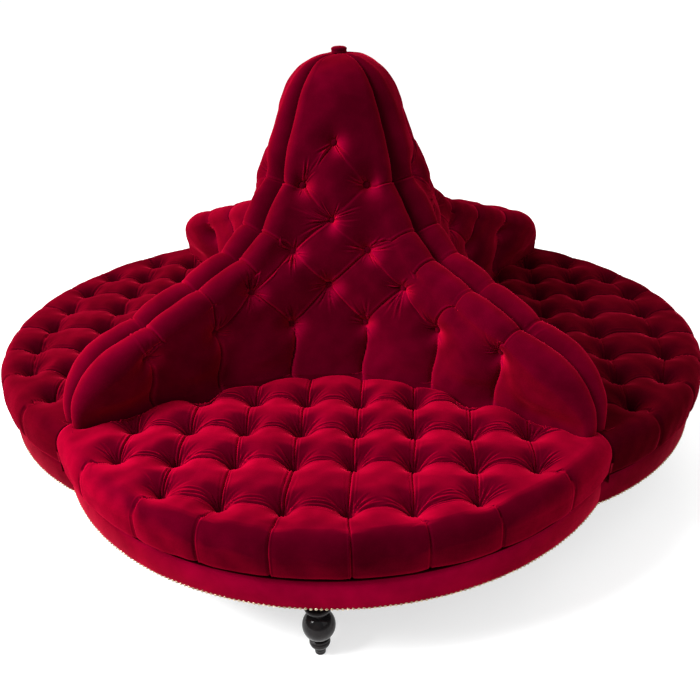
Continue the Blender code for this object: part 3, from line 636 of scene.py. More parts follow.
def sheet_normals(sheet):
    """Unit normals of a sheet of points, to the side that its columns and rows turn to."""
    across = np.gradient(sheet, axis=1)
    upward = np.gradient(sheet, axis=0)
    normal = np.cross(across, upward)
    size = np.linalg.norm(normal, axis=2)[..., None]
    return normal / np.maximum(size, 1e-12)


def grid_mesh(places, painted_highlight):
    """A bmesh grid with its vertices laid on rows by columns of points, and their painted highlight."""
    rows, columns = places.shape[:2]
    bm = bmesh.new()
    bmesh.ops.create_grid(bm, x_segments=columns - 1, y_segments=rows - 1, size=1)
    assert len(bm.verts) == rows * columns
    layer = bm.verts.layers.float.new("painted_highlight")
    values = np.clip(painted_highlight, 0, 1).reshape(-1).tolist()
    for vert, place, value in zip(bm.verts, places.reshape(-1, 3).tolist(), values):
        vert.co = place
        vert[layer] = value
    return bm


def closed_skin(bm, seam, name):
    """A mesh of a skin: its seam merged, its rims filled and its faces turned outward."""
    bmesh.ops.remove_doubles(bm, verts=seam, dist=SKIN_MERGE)
    rims = [edge for edge in bm.edges if edge.is_boundary]
    bmesh.ops.holes_fill(bm, edges=rims, sides=0)
    bmesh.ops.triangulate(bm, faces=[face for face in bm.faces if len(face.verts) > 4])
    bmesh.ops.recalc_face_normals(bm, faces=bm.faces)
    return mesh_of(bm, name)


print("Seams closer than", SKIN_MERGE, "m are sewn up")


# %% [markdown]
# ## The shape of the back
#
# The back is four concave panels. Each is described by level: how far the ridge reaches
# out along the diagonal, how deep the panel stands on its centre line, and how round the
# rolled edge is. A smooth curve through the table gives as many levels as the dressed
# surface needs.

# %% Levels of the back
# Shares of the rise, of the ridge's reach, of the depth, of the roll and of its turn
BACK_FORM = np.array(
    (
        (0.000, 1.000, 1.000, 0.44, 0.00),
        (0.050, 0.998, 0.945, 0.47, 0.00),
        (0.105, 0.980, 0.895, 0.56, 0.00),
        (0.165, 0.935, 0.850, 0.70, 0.00),
        (0.215, 0.870, 0.820, 0.84, 0.00),
        (0.262, 0.776, 0.805, 0.94, 0.00),
        (0.310, 0.665, 0.797, 1.00, 0.00),
        (0.358, 0.536, 0.793, 1.06, 0.05),
        (0.410, 0.422, 0.787, 1.10, 0.20),
        (0.475, 0.356, 0.772, 1.12, 0.40),
        (0.545, 0.306, 0.735, 1.12, 0.60),
        (0.630, 0.261, 0.655, 1.10, 0.80),
        (0.735, 0.230, 0.552, 0.98, 1.00),
        (0.830, 0.194, 0.482, 0.86, 1.00),
        (0.905, 0.162, 0.410, 0.72, 1.00),
        (0.955, 0.128, 0.319, 0.57, 1.00),
        (0.986, 0.088, 0.210, 0.38, 1.00),
        (0.999, 0.044, 0.105, 0.19, 1.00),
        (1.000, 0.016, 0.040, 0.08, 1.00),
    )
)


def smooth_rows(table, at):
    """Rows of a table at fractional places, on a smooth curve through all its rows."""
    index = np.clip(at.astype(int), 0, len(table) - 2)
    t = (at - index)[:, None]
    a, b, c, d = (table[np.clip(index + k, 0, len(table) - 1)] for k in (-1, 0, 1, 2))
    return (
        a * (-t + 2 * t**2 - t**3)
        + b * (2 - 5 * t**2 + 3 * t**3)
        + c * (t + 4 * t**2 - 3 * t**3)
        + d * (-(t**2) + t**3)
    ) / 2


# How far a level's curve runs straight on from its edge and from its middle, as shares
FACE_LEAD = 0.36
MIDDLE_LEAD = 0.26
RIB_CLEARANCE = 0.0045
RIB_HALF = 0.0093


class Levels:
    """The back's form at an array of levels, counted in rows of the table."""

    def __init__(self, at):
        at = np.atleast_1d(np.asarray(at, float))
        form = smooth_rows(BACK_FORM, at)
        step = smooth_rows(BACK_FORM, at + 0.01) - smooth_rows(BACK_FORM, at - 0.01)
        self.z = SEAT_LINE + form[:, 0] * BACK_RISE
        self.crest = form[:, 1] * WING_REACH
        self.centre = form[:, 2] * BACK_DEPTH
        self.roll = form[:, 3] * BACK_ROLL
        self.turn = form[:, 4] * FACE_TURN
        normal = OUT * (step[:, :1] * BACK_RISE) - UP * (step[:, 1:2] * WING_REACH)
        self.normal = normal / np.linalg.norm(normal, axis=1)[:, None]
        face = FORWARD * (step[:, :1] * BACK_RISE) - UP * (step[:, 2:3] * BACK_DEPTH)
        self.face_normal = face / np.linalg.norm(face, axis=1)[:, None]
        self.ridge = OUT * self.crest[:, None] + UP * self.z[:, None]
        self.axis = self.ridge - self.normal * self.roll[:, None] + ASIDE * (self.roll + GAP)[:, None]
        self.middle = np.stack((0 * self.z, -self.centre, self.z), 1)

    def rolled(self, angle):
        """Points round the rolled edge: angle 0 is on its face, a half turn its neighbour."""
        angle = np.broadcast_to(angle, self.z.shape)[:, None]
        around = ASIDE * np.cos(angle) + self.normal * np.sin(angle)
        return self.axis + around * self.roll[:, None]

    def face(self, count):
        """The face from its rolled edge to the centre line, evenly spaced: levels x count."""
        start = self.rolled(self.turn)
        lead = np.linalg.norm(self.middle - start, axis=1)[:, None]
        turn = self.turn[:, None]
        first = start + (ASIDE * np.sin(turn) - OUT * np.cos(turn)) * lead * FACE_LEAD
        second = self.middle + ACROSS * MIDDLE_LEAD * lead
        return even_curve((start, first, second, self.middle), count)

    def hidden(self, count):
        """The padding's hidden side, from the rib to the centre line."""
        start = self.ridge - self.normal * (RIB_INSET - RIB_CLEARANCE) + ASIDE * RIB_HALF
        end = self.middle - self.face_normal * BACK_PAD
        lead = np.linalg.norm(end - start, axis=1)[:, None]
        first = start - OUT * lead * FACE_LEAD
        second = end + ACROSS * MIDDLE_LEAD * lead
        return even_curve((start, first, second, end), count)


CURVE_POINTS = 97


def even_curve(corners, count):
    """Evenly spaced points on cubic curves, one curve a row."""
    t = np.linspace(0, 1, CURVE_POINTS)[None, :, None]
    a, b, c, d = (corner[:, None] for corner in corners)
    curve = a * (1 - t) ** 3 + 3 * b * t * (1 - t) ** 2 + 3 * c * t**2 * (1 - t) + d * t**3
    step = np.linalg.norm(np.diff(curve, axis=1), axis=2)
    before = np.concatenate((np.zeros((len(step), 1)), np.cumsum(step, axis=1)), 1)
    made = np.empty((len(step), count, 3))
    for row, (reach, line) in enumerate(zip(before, curve)):
        at = np.linspace(0, reach[-1], count)
        for axis in range(3):
            made[row, :, axis] = np.interp(at, reach, line[:, axis])
    return made


DENSE_LEVELS = np.linspace(0, len(BACK_FORM) - 1, 1400)
DENSE = Levels(DENSE_LEVELS)
print("Back levels run from", round(DENSE.z[0], 3), "to", round(DENSE.z[-1], 3), "m")


# %% Finding a place on the back
def level_at(z):
    """The level, in rows of the table, that stands at a height."""
    return float(np.interp(z, DENSE.z, DENSE_LEVELS))


# Heights over which the levels crowd together, and over which they spread out again
BUTTONS_BEGIN = (0.50, 0.58)
BUTTONS_END = (1.12, 1.24)
EXTRA_LEVELS = 0.9


def even_levels(count):
    """Levels spaced along the face, nearly twice as dense where it is buttoned."""
    line = (DENSE.middle + DENSE.rolled(DENSE.turn)) / 2
    step = np.linalg.norm(np.diff(line, axis=0), axis=1)
    z = line[1:, 2]
    wrinkled = smooth_step(z, *BUTTONS_BEGIN) * (1 - smooth_step(z, *BUTTONS_END))
    reach = np.concatenate(([0.0], np.cumsum(step * (1 + EXTRA_LEVELS * wrinkled))))
    return np.interp(np.linspace(0, reach[-1], count), reach, DENSE_LEVELS)


def face_depth(face, x):
    """Where a face stands, front to back, at a place across it."""
    return np.interp(np.abs(x), face[::-1, 0], face[::-1, 1])


def on_face(x, z):
    """A point of the smooth face from its place across and its height."""
    level = 0 if z <= SEAT_LINE else level_at(z)
    return np.array((x, face_depth(Levels(level).face(160)[0], x), z))


print("The face stands at", on_face(0.0, 0.8).round(3), "on its centre line, 0.8 m up")

# %% [markdown]
# ## How fine the grids are
#
# Small wrinkles need small faces. The front quarter gets the finest grid, as it is seen
# from close by, and the other three get fewer points.

# %% Counts of the grids
DETAIL = {"front": 1.0, "right": 0.64, "rear": 0.5, "left": 0.64}
BACK_ROWS = 520
BACK_FACE = 180
BACK_ROLLED = 26
SEAT_COLUMNS = 440
SEAT_TOP_ROWS = 270
SEAT_ROLL_ROWS = 76
SNAP = 0.0019
print("Detail by quarter:", DETAIL)

# %% [markdown]
# ## The back panels
#
# A panel is one closed skin, like the sewn cover of a real pad: the buttoned face, the
# rolled edge on each side of it, and the plain side that lies against the boards. It is
# a grid that is wrapped round into a tube and closed at its foot and its top.


# %% A back panel's smooth skin
HIDDEN_COLUMNS = 9
BEHIND_SEAT = 0.05


def back_sheet(detail):
    """The face and the rolled edges of the front panel, as rows of points from the foot."""
    levels = Levels(even_levels(int(BACK_ROWS * detail)))
    face = levels.face(int(BACK_FACE * detail) + 1)
    rolled = int(BACK_ROLLED * detail)
    shares = np.arange(rolled) / rolled
    turns = [levels.rolled(math.pi + (levels.turn - math.pi) * share) for share in shares]
    half = np.concatenate((np.stack(turns, 1), face), 1)
    front = both_sides(half)
    rear = both_sides(levels.hidden(HIDDEN_COLUMNS))[:, ::-1]
    below = np.linspace(CUSHION_BOTTOM, SEAT_LINE - BEHIND_SEAT, 4)[:-1]
    behind = np.linspace(SEAT_LINE - BEHIND_SEAT, SEAT_LINE, int(18 * detail) + 2)[:-1]
    drop = np.concatenate((below, behind))
    return under(front, drop), under(rear, drop)


def both_sides(half):
    """Half rows that end on the centre line, followed by their mirror image."""
    return np.concatenate((half, half[:, -2::-1] * np.array((-1.0, 1.0, 1.0))), 1)


def under(sheet, heights):
    """A sheet with its lowest row repeated at some heights below it."""
    foot = np.repeat(sheet[:1], len(heights), 0)
    foot[..., 2] = heights[:, None]
    return np.concatenate((foot, sheet))


print("A smooth panel at a tenth of the detail:", back_sheet(0.1)[0].shape)

# %% [markdown]
# ## Where the back is buttoned
#
# The buttons stand in staggered rows, given here by row, place across and height. Beside
# each row's outer buttons a pleat climbs over the rolled edge. The outer pads are stuffed
# fuller than the middle ones. The pull of the twine throws wrinkles out of each pit, and
# they were read off the photograph, button by button.

# %% Buttons, pads and wrinkles of the back
BACK_BUTTONS = (
    (0, 0.0, 1.164),
    (1, 0.1085, 1.038),
    (2, 0.0, 0.940),
    (3, 0.118, 0.848),
    (4, 0.0, 0.722),
    (4, 0.221, 0.739),
    (5, 0.110, 0.611),
    (5, 0.327, 0.620),
    (5, 0.5115, 0.610),
)
# Height at which the pleat of an outer button meets the rolled edge
EDGE_PLEATS = {
    (1, 0.1085): 1.038,
    (3, 0.118): 0.903,
    (4, 0.221): 0.832,
    (5, 0.327): 0.775,
    (5, 0.5115): 0.711,
}
LAST_ROW = 5
ROW_SHIFT = (0.009, 0.0065, 0.021, 0.020, 0.027, 0.030)
NEXT_REACH = 0.19
# Pads that are stuffed fuller: place across, height, rise and reach
PADS = (
    (0.0, 0.535, 0.010, 0.11),
    (0.2185, 0.535, 0.014, 0.12),
    (0.420, 0.550, 0.018, 0.13),
    (0.612, 0.560, 0.025, 0.18),
)
# How tight the pleats are that fall to the left and to the right of each row
FALLING_LEFT = (0.30, 0.22, 1.0, 1.0, 1.0)
FALLING_RIGHT = (0.05, 0.35, 0.12, 0.60, 0.85)

# Fans of wrinkles by row and side of the button: aim and spread in degrees, count, length
BACK_FANS = {
    (0, 0): ((-128, 34, 5, 0.125), (-48, 44, 5, 0.100), (60, 30, 2, 0.04)),
    (1, -1): ((58, 26, 4, 0.100), (-32, 46, 5, 0.085), (-95, 40, 2, 0.04)),
    (1, 1): ((172, 34, 5, 0.100), (-30, 30, 2, 0.04), (120, 20, 2, 0.05)),
    (2, 0): ((184, 64, 8, 0.150), (38, 40, 5, 0.130), (-6, 26, 3, 0.120), (130, 30, 3, 0.08)),
    (3, -1): ((148, 30, 3, 0.090), (-92, 46, 5, 0.095), (-25, 40, 3, 0.070), (60, 26, 3, 0.06)),
    (3, 1): ((18, 50, 7, 0.135), (-58, 34, 5, 0.105), (178, 36, 5, 0.105), (-120, 30, 3, 0.06)),
    (4, -1): ((92, 70, 6, 0.095), (-40, 50, 5, 0.095), (-112, 46, 6, 0.095), (165, 30, 3, 0.06)),
    (4, 0): ((112, 50, 5, 0.080), (-102, 46, 6, 0.120), (-58, 26, 3, 0.095), (170, 30, 4, 0.08)),
    (4, 1): ((-100, 56, 7, 0.125), (20, 60, 5, 0.085), (178, 30, 4, 0.07)),
    (5, -1): ((84, 66, 7, 0.105), (10, 40, 3, 0.055), (-70, 26, 3, 0.06)),
    (5, 1): ((100, 60, 6, 0.100), (160, 40, 3, 0.06), (-62, 30, 3, 0.065)),
}


def sides_of(across):
    """Both sides of a place beside the centre line, and one for a place on it."""
    return (1, -1) if across else (1,)


def back_buttons(shift):
    """Buttons of a panel as {(row, place across): point}. The real rows wander to one side."""
    placed = {}
    for row, across, z in BACK_BUTTONS:
        for side in sides_of(across):
            placed[row, side * across] = on_face(side * across - ROW_SHIFT[row] * shift, z)
    return placed


print("Buttons on a back panel:", len(back_buttons(1.0)))


# %% Pleats of the back
ROUND_THE_ROLL = math.pi * 0.94
EDGE_BEND = np.array((0.28, 0.96))
FOOT_DROPS = (0.04, 0.09)


def face_path(start, end, steps=20):
    """A pleat on the face between two of its points."""
    shares = np.linspace(0, 1, steps)
    return np.array([on_face(*(start[[0, 2]] * (1 - s) + end[[0, 2]] * s)) for s in shares])


def edge_path(start, z, side):
    """A pleat that climbs from a button, bends to the rolled edge and goes over it."""
    level = Levels(level_at(z))
    turns = np.linspace(float(level.turn[0]), ROUND_THE_ROLL, 14)
    over = np.array([level.rolled(turn)[0] for turn in turns])
    over[:, 0] *= side
    first, last = start[[0, 2]], over[0][[0, 2]]
    bend = first + (last - first) * EDGE_BEND
    line = []
    for t in np.linspace(0, 1, 20)[:-1]:
        line.append(on_face(*(first * (1 - t) ** 2 + bend * 2 * t * (1 - t) + last * t**2)))
    return np.concatenate((np.array(line), over))


def foot_path(start, sway=0.008):
    """A pleat from a lowest button to the panel's foot and on behind the seat."""
    foot = on_face(start[0], SEAT_LINE)
    below = foot - np.outer(FOOT_DROPS, UP)
    line = face_path(start, foot)
    bow = np.sin(np.linspace(0, 1.6 * math.pi, len(line))) * sway
    for point, out in zip(line, bow):
        point[:] = on_face(point[0] + out, point[2])
    return np.concatenate((line, below))


def back_pleats(buttons):
    """A panel's pleats: with their tightness between buttons, over the edges, to the foot."""
    diagonals, edges, feet = [], [], []
    for (row, across), spot in buttons.items():
        for (next_row, next_across), other in buttons.items():
            if next_row == row + 1 and 0 < abs(across - next_across) < NEXT_REACH:
                tight = (FALLING_LEFT if next_across < across else FALLING_RIGHT)[row]
                diagonals.append((tight, face_path(spot, other)))
        if row == LAST_ROW:
            feet.append(foot_path(spot))
    for (row, across), z in EDGE_PLEATS.items():
        for side in (1, -1):
            edges.append(edge_path(buttons[row, side * across], z, side))
    return diagonals, edges, feet


print("Pleats on a back panel:", [len(paths) for paths in back_pleats(back_buttons(1.0))])

# %% [markdown]
# ## Buttoning a panel
#
# The pleats between the buttons come first, each with a tuck along it, where the folded
# cloth makes a dark slit and a raised lip with a painted highlight. Then every button draws
# its pit and throws its wrinkles, with a painted highlight on its lower side. Last the pads
# are filled up. Near the ridge and below the seat the cover keeps its full shape, so that
# no gap opens to the panel or the seat beside it.


# %% Button a back panel
RIDGE_FADE = 0.22
FOOT_FADE = 0.040


def button_back(sheet, shift, seed, detail):
    """The front sheet drawn in by its buttons, pleats and wrinkles."""
    cover = Cover(sheet, -sheet_normals(sheet), SNAP / detail)
    buttons = back_buttons(shift)
    diagonals, edges, feet = back_pleats(buttons)
    for path in [path for tight, path in diagonals] + edges + feet:
        cover.snap(path)
    rng = np.random.default_rng(int(seed * 10))
    for tight, path in diagonals:
        cover.pleat(path, start=0.030, middle=0.0050 + 0.0110 * tight, end=0.030, width=0.085)
        cover.tuck(path, depth=0.0044 * tight * rng.uniform(0.7, 1.1), side=rng.choice((-1, 1)))
    for path in edges:
        cover.pleat(path, start=0.028, middle=0.0120, end=0.0040, width=0.060)
        cover.tuck(path, depth=0.0042, side=rng.choice((-1, 1)), width=0.0022)
    for path in feet:
        cover.pleat(path, start=0.036, middle=0.0340, end=0.0300, width=0.110, full=0.95)
        cover.tuck(path, depth=0.0044, side=1)
        # A tuck of no depth only paints a highlight beside the pleat
        cover.tuck(path, depth=0.0, side=1, width=0.0045)
    for (row, across), spot in buttons.items():
        normal = cover.normals[np.linalg.norm(cover.points - spot, axis=1).argmin()]
        along_x = np.cross(UP, normal)
        along_x /= np.linalg.norm(along_x)
        cover.pit(spot, depth=0.043, reach=0.096)
        cover.paint_highlight(spot, along_x, normal, aim=-35, spread=100, reach=0.068, amount=0.80)
        for fan in BACK_FANS[row, int(np.sign(across))]:
            cover.fan(spot, along_x, normal, fan, depth=0.0074, rng=rng)
    for across, z, rise, reach in PADS:
        for side in sides_of(across):
            cover.puff(on_face(side * across, z), rise, reach)
    cover.unevenness(0.0014, seed)
    keep_edges_full(cover, int(BACK_ROLLED * detail))
    return cover, buttons


def keep_edges_full(cover, rolled):
    """Lets the drawing-in fade out where two panels meet and below the seat."""
    rows, columns = cover.shape[:2]
    inward = np.minimum(np.arange(columns), np.arange(columns)[::-1]) / rolled
    above = smooth_step(cover.points[:, 2], SEAT_LINE - FOOT_FADE, SEAT_LINE)
    cover.kept = np.tile(smooth_step(inward, 0.0, RIDGE_FADE), rows) * above


def back_skin(front, rear, painted_highlight):
    """The closed skin of a panel, from its front and its hidden side."""
    around = np.concatenate((front, rear, front[:, :1]), 1)
    painted_highlight = np.concatenate((painted_highlight, np.zeros(rear.shape[:2]), painted_highlight[:, :1]), 1)
    bm = grid_mesh(around, painted_highlight)
    seam = [vert for vert in bm.verts if vert.is_boundary]
    return closed_skin(bm, seam, "back_cushion")


print("A panel's cover is full again at", FOOT_FADE, "m below the seat's line")

# %% Make the four back panels
BACK_SPOTS = {}
SHIFTS = {"front": 1.0, "right": 0.3, "rear": 0.0, "left": -0.4}
for quarter, shift in SHIFTS.items():
    front_sheet, rear_sheet = back_sheet(DETAIL[quarter])
    cover, spots = button_back(front_sheet, shift, 1.0 + QUARTERS[quarter], DETAIL[quarter])
    BACK_SPOTS[quarter] = [cover.depth_at(spot) for spot in spots.values()]
    mesh = back_skin(cover.finished(), rear_sheet, cover.painted_highlights())
    add_quarters("velvet_back", mesh, BACK_VELVET, "back_cushion", (quarter,))

# %% [markdown]
# ## The seats
#
# A seat is a sheet from the foot of the back to the edge of the lobe, where it rolls
# over and goes down to the seam. Its columns run straight out from the back, as the
# pleats do.

# %% A seat's smooth sheet
SEAT_FALL = 0.034
FALL_WIDTH = 0.024
REAR_GAP = 0.0008
# Radius and height of the rolled front edge, from the crown down to the seam
ROLL_PROFILE = np.array(
    (
        (0.8850, 0.4616),
        (0.8990, 0.4590),
        (0.9120, 0.4520),
        (0.9225, 0.4410),
        (0.9295, 0.4270),
        (0.9335, 0.4110),
        (0.9345, 0.3940),
        (0.9342, 0.3770),
        (0.9330, 0.3600),
        (0.9320, 0.3525),
        (0.9300, 0.3458),
        (0.9250, 0.3425),
        (0.9150, 0.3405),
        (0.9065, 0.3370),
        (0.9050, 0.3218),
    )
)


COLUMN_SAMPLES = 6001
BESIDE_PLEAT = 0.012
EXTRA_COLUMNS = 1.6


def column_angles(count):
    """Angles of the seat's columns, closer together beside the pleats."""
    end = lobe_angle(EDGE_RADIUS)
    dense = np.linspace(-end, end, COLUMN_SAMPLES)
    x = EDGE_RADIUS * np.sin(dense)
    pleats = np.array([side * (k + 0.5) * SEAT_PITCH for k in range(4) for side in (1, -1)])
    close = bell(np.abs(x[:, None] - pleats).min(1), BESIDE_PLEAT)
    weight = (1 + EXTRA_COLUMNS * close) * np.gradient(x)
    weight += 0.25 * weight.mean()
    reach = np.cumsum(weight)
    return np.interp(np.linspace(reach[0], reach[-1], count + 1), reach, dense)[::-1]


def rear_line(angles):
    """The seat's rear outline behind each column: the nose of the wing, then its face."""
    foot = Levels(0)
    nose = np.array([foot.rolled(turn)[0] for turn in np.linspace(math.pi, 0, 25)])
    face = foot.face(300)[0]
    x_edge = EDGE_RADIUS * np.sin(angles)
    tip = lobe_place(EDGE_RADIUS, lobe_angle(EDGE_RADIUS), 0.0)
    side = np.concatenate((tip[None], nose[:-1] + OUT * REAR_GAP, face[:1]))[:, :2]
    reach = reach_along(side)
    start = face[0, 0]
    share = np.clip((tip[0] - np.abs(x_edge)) / (tip[0] - start), 0, 1) * reach[-1]
    x = np.where(np.abs(x_edge) > start, np.interp(share, reach, side[:, 0]), np.abs(x_edge))
    y_side = np.interp(share, reach, side[:, 1])
    y = np.where(np.abs(x_edge) > start, y_side, face_depth(face, x) - REAR_GAP)
    return np.stack((np.sign(x_edge) * x, y, np.full_like(x, CROWN)), 1)


def seat_sheet(detail):
    """Rows of points over the seat, from the back's foot to the seam."""
    angles = column_angles(int(SEAT_COLUMNS * detail / 2) * 2)
    rear = rear_line(angles)
    edge = lobe_place(EDGE_RADIUS, angles, CROWN)
    length = np.linalg.norm(edge - rear, axis=1)
    share = np.linspace(0, 1, int(SEAT_TOP_ROWS * detail) + 1) ** 1.06
    top = rear[None] + (edge - rear)[None] * share[:, None, None]
    fall = SEAT_FALL * smooth_step(length, 0.02, 0.16)
    away = share[:, None] * length[None]
    top[..., 2] -= fall * pillow_side(away, FALL_WIDTH, 1.0)
    reach = reach_along(ROLL_PROFILE)
    count = int(SEAT_ROLL_ROWS * detail)
    index = np.interp(np.linspace(0, reach[-1], count), reach, np.arange(len(reach)))
    profile = smooth_rows(ROLL_PROFILE, index)[1:]
    ends = np.array([lobe_angle(radius) for radius in profile[:, 0]]) / lobe_angle(EDGE_RADIUS)
    roll = lobe_place(profile[:, :1], angles[None] * ends[:, None], profile[:, 1:])
    return np.concatenate((top, roll))


print("A smooth seat at a tenth of the detail:", seat_sheet(0.1).shape)

# %% [markdown]
# ## Where a seat is buttoned
#
# The buttons stand in straight rows and columns, and the front row bends with the edge.
# Pleats run between the buttons both ways. They also run from the first row back to the
# foot of the back, and from the last button of each column over the rolled edge.

# %% Buttons and pleats of a seat
# Rows from the back, each by its outermost half column and its place front to back
SEAT_ROWS = ((2.5, -0.577), (3.5, -0.740), (3.5, -0.900))
FRONT_ROW = ((0.5, -1.100), (1.5, -1.090), (2.5, -1.043))
# A pleat leans outward a little on its way down the rolled edge
ROLL_LEAN = 1.02


def seat_buttons():
    """Buttons of a seat as {(row, column): point}, rows counted from the back."""
    placed = {}
    for row, (last, y) in enumerate(SEAT_ROWS):
        for k in range(int(last + 0.5)):
            for side in (1, -1):
                column = side * (k + 0.5)
                placed[row, column] = np.array((column * SEAT_PITCH, y, CROWN))
    for column, y in FRONT_ROW:
        for side in (1, -1):
            placed[len(SEAT_ROWS), side * column] = np.array((side * column * SEAT_PITCH, y, CROWN))
    return placed


def straight(start, end, steps=12):
    """A path of evenly spaced points between two."""
    shares = np.linspace(0, 1, steps)[:, None]
    return start * (1 - shares) + end * shares


def bowed(path, amount):
    """A path with a soft S in it, sideways on the seat."""
    run = path[-1] - path[0]
    side = np.array((-run[1], run[0], 0.0)) / np.linalg.norm(run)
    share = np.linspace(0, 1, len(path))
    wave = np.sin(math.pi * share) + 0.5 * np.sin(2 * math.pi * share)
    return path + side * (amount * wave)[:, None]


def over_edge(start):
    """A pleat from a button outward over the rolled edge to the seam."""
    angle = math.atan2(start[0], -(start[1] + LOBE_OFFSET))
    edge = lobe_place(EDGE_RADIUS, angle, CROWN)
    roll = lobe_place(ROLL_PROFILE[:, 0], angle * ROLL_LEAN, ROLL_PROFILE[:, 1])
    return np.concatenate((straight(start, edge)[:-1], roll[:-1]))


def to_foot(start):
    """A pleat from a button back to the foot of the back."""
    y = face_depth(Levels(0).face(300)[0], start[0])
    path = straight(start, np.array((start[0], y, CROWN)), 20)
    path[:, 2] -= SEAT_FALL * pillow_side(np.abs(path[:, 1] - y), FALL_WIDTH, 1.0)
    return path


print("Buttons on a seat:", len(seat_buttons()))

# %% [markdown]
# ## Buttoning a seat
#
# The cloth between two buttons of a row lies in arcs, with up to three long folds beside
# each pleat, and the columns are sharp straight tucks. Each fold's place, depth and width
# are drawn from the seat's own random numbers, so no two fields are alike.

# %% Button a seat
# Fans of wrinkles: aim and spread in degrees, count, length
SEAT_FANS = (
    (32, 46, 6, 0.090),
    (148, 46, 6, 0.090),
    (66, 24, 3, 0.065),
    (114, 24, 3, 0.065),
    (-40, 60, 4, 0.042),
    (-140, 60, 4, 0.042),
)
FRONT_FANS = ((-62, 36, 5, 0.055), (-118, 36, 5, 0.055), (5, 30, 3, 0.05), (175, 30, 3, 0.05))
CORNER_BUTTON = (1, 3.5)
CORNER_FANS = {1: (16, 30, 6, 0.170), -1: (164, 30, 6, 0.170)}
SEAT_HIGHLIGHT = 0.45
# Points of a front pleat as far as the beginning of the rolled edge
UP_TO_EDGE = 13


def seat_pleats(buttons, rng):
    """A seat's pleats: down the columns, along the rows, over the edge and to the back."""
    lines, arcs, fronts, rears = [], [], [], []
    for (row, column), spot in buttons.items():
        if (row + 1, column) in buttons:
            line = straight(spot, buttons[row + 1, column])
            lines.append(bowed(line, rng.uniform(-0.005, 0.005)))
        else:
            fronts.append(over_edge(spot))
        if (row, column + 1) in buttons:
            line = straight(spot, buttons[row, column + 1])
            arcs.append(bowed(line, rng.uniform(-0.004, 0.004)))
        if (row - 1, column) not in buttons:
            rears.append(to_foot(spot))
    return lines, arcs, fronts, rears


def draw_column(cover, path, rng):
    """A column's pleat: a sharp tuck with a fold on each side of it."""
    cover.pleat(path, start=0.044, middle=0.0160, end=0.044, width=0.074, full=0.6)
    side = rng.choice((-1, 1))
    cover.tuck(path, depth=0.0040, side=side, width=0.0019)
    depth = rng.uniform(0.0012, 0.0040)
    shift = side * rng.uniform(0.0080, 0.0125)
    cover.fold(path, shift, depth, width=0.0018, begin=0.0, stop=1.1, flat=0.75)
    shift = -side * rng.uniform(0.012, 0.018)
    cover.fold(path, shift, depth=0.0016, width=0.0020, begin=0.3, stop=1.1, flat=0.3, skew=0.6)


def draw_arc(cover, path, rng):
    """A row's pleat between two buttons, with up to three long folds in front of it."""
    cover.pleat(path, start=0.044, middle=0.0135, end=0.044, width=0.080)
    depth = 0.0042 * rng.uniform(0.5, 1.1)
    cover.tuck(path, depth, side=rng.choice((-1, 1)), width=0.0022)
    shift = 0.0
    for size in (0.0036, 0.0024, 0.0016)[: rng.integers(1, 4)]:
        shift += rng.uniform(0.0065, 0.0125)
        start, stop = rng.uniform(-0.2, 0.30), rng.uniform(0.60, 1.2)
        size, skew = size * rng.uniform(0.5, 1.1), rng.uniform(0.6, 1.7)
        width = rng.uniform(0.0014, 0.0026)
        cover.fold(path, shift, size, width, begin=start, stop=stop, flat=0.05, skew=skew)
    shift = -rng.uniform(0.008, 0.012)
    cover.fold(path, shift, depth=rng.uniform(0.0, 0.0018), width=0.0020, begin=0.1, stop=0.9)


def draw_front(cover, path, rng):
    """A pleat over the rolled edge: deep as far as the edge, then a shallow line."""
    cover.pleat(path[:UP_TO_EDGE], start=0.038, middle=0.0110, end=0.0050, width=0.060)
    cover.pleat(path, start=0.020, middle=0.0050, end=0.0030, width=0.034)
    cover.tuck(path, depth=0.0040, side=rng.choice((-1, 1)), width=0.0020)


def draw_rear(cover, path, rng):
    """A pleat that runs back under the panel's foot."""
    cover.pleat(path, start=0.038, middle=0.0170, end=0.0130, width=0.070)
    cover.tuck(path, depth=0.0045, side=rng.choice((-1, 1)), width=0.0022)
    shift = rng.choice((-1, 1)) * 0.009
    cover.fold(path, shift, depth=0.0026, width=0.0020, begin=0.0, stop=1.0, flat=0.75)


def button_seat(sheet, seed, detail):
    """The seat's sheet drawn in by its buttons, pleats and wrinkles."""
    cover = Cover(sheet, sheet_normals(sheet), SNAP / detail)
    cover.normals[:] = settle_normals(cover.normals)
    buttons = seat_buttons()
    rng = np.random.default_rng(int(seed * 10))
    families = seat_pleats(buttons, rng)
    for path in sum(families, []):
        cover.snap(path)
    for draw, paths in zip((draw_column, draw_arc, draw_front, draw_rear), families):
        for path in paths:
            draw(cover, path, rng)
    for (row, column), spot in buttons.items():
        last = (row + 1, column) not in buttons
        cover.pit(spot, depth=0.048 if last else 0.060, reach=0.104)
        fans = SEAT_FANS[:4] + FRONT_FANS if last else SEAT_FANS
        if (row, abs(column)) == CORNER_BUTTON:
            fans = fans + (CORNER_FANS[np.sign(column)],)
        for fan in fans:
            cover.fan(spot, ACROSS, UP, fan, depth=0.0050, rng=rng)
    cover.unevenness(0.0014, seed)
    return cover, buttons


def settle_normals(normals):
    """Normals straight up where the sheet is drawn to a tip and its own are unsure."""
    normals = normals.reshape(-1, 3)
    weak = np.linalg.norm(normals, axis=1) < 0.5
    normals[weak] = UP
    return normals


UNDERSIDE_RADIUS = 0.8865
SEAM_RISE = 0.004
SEAM_CLEARANCE = 0.0006


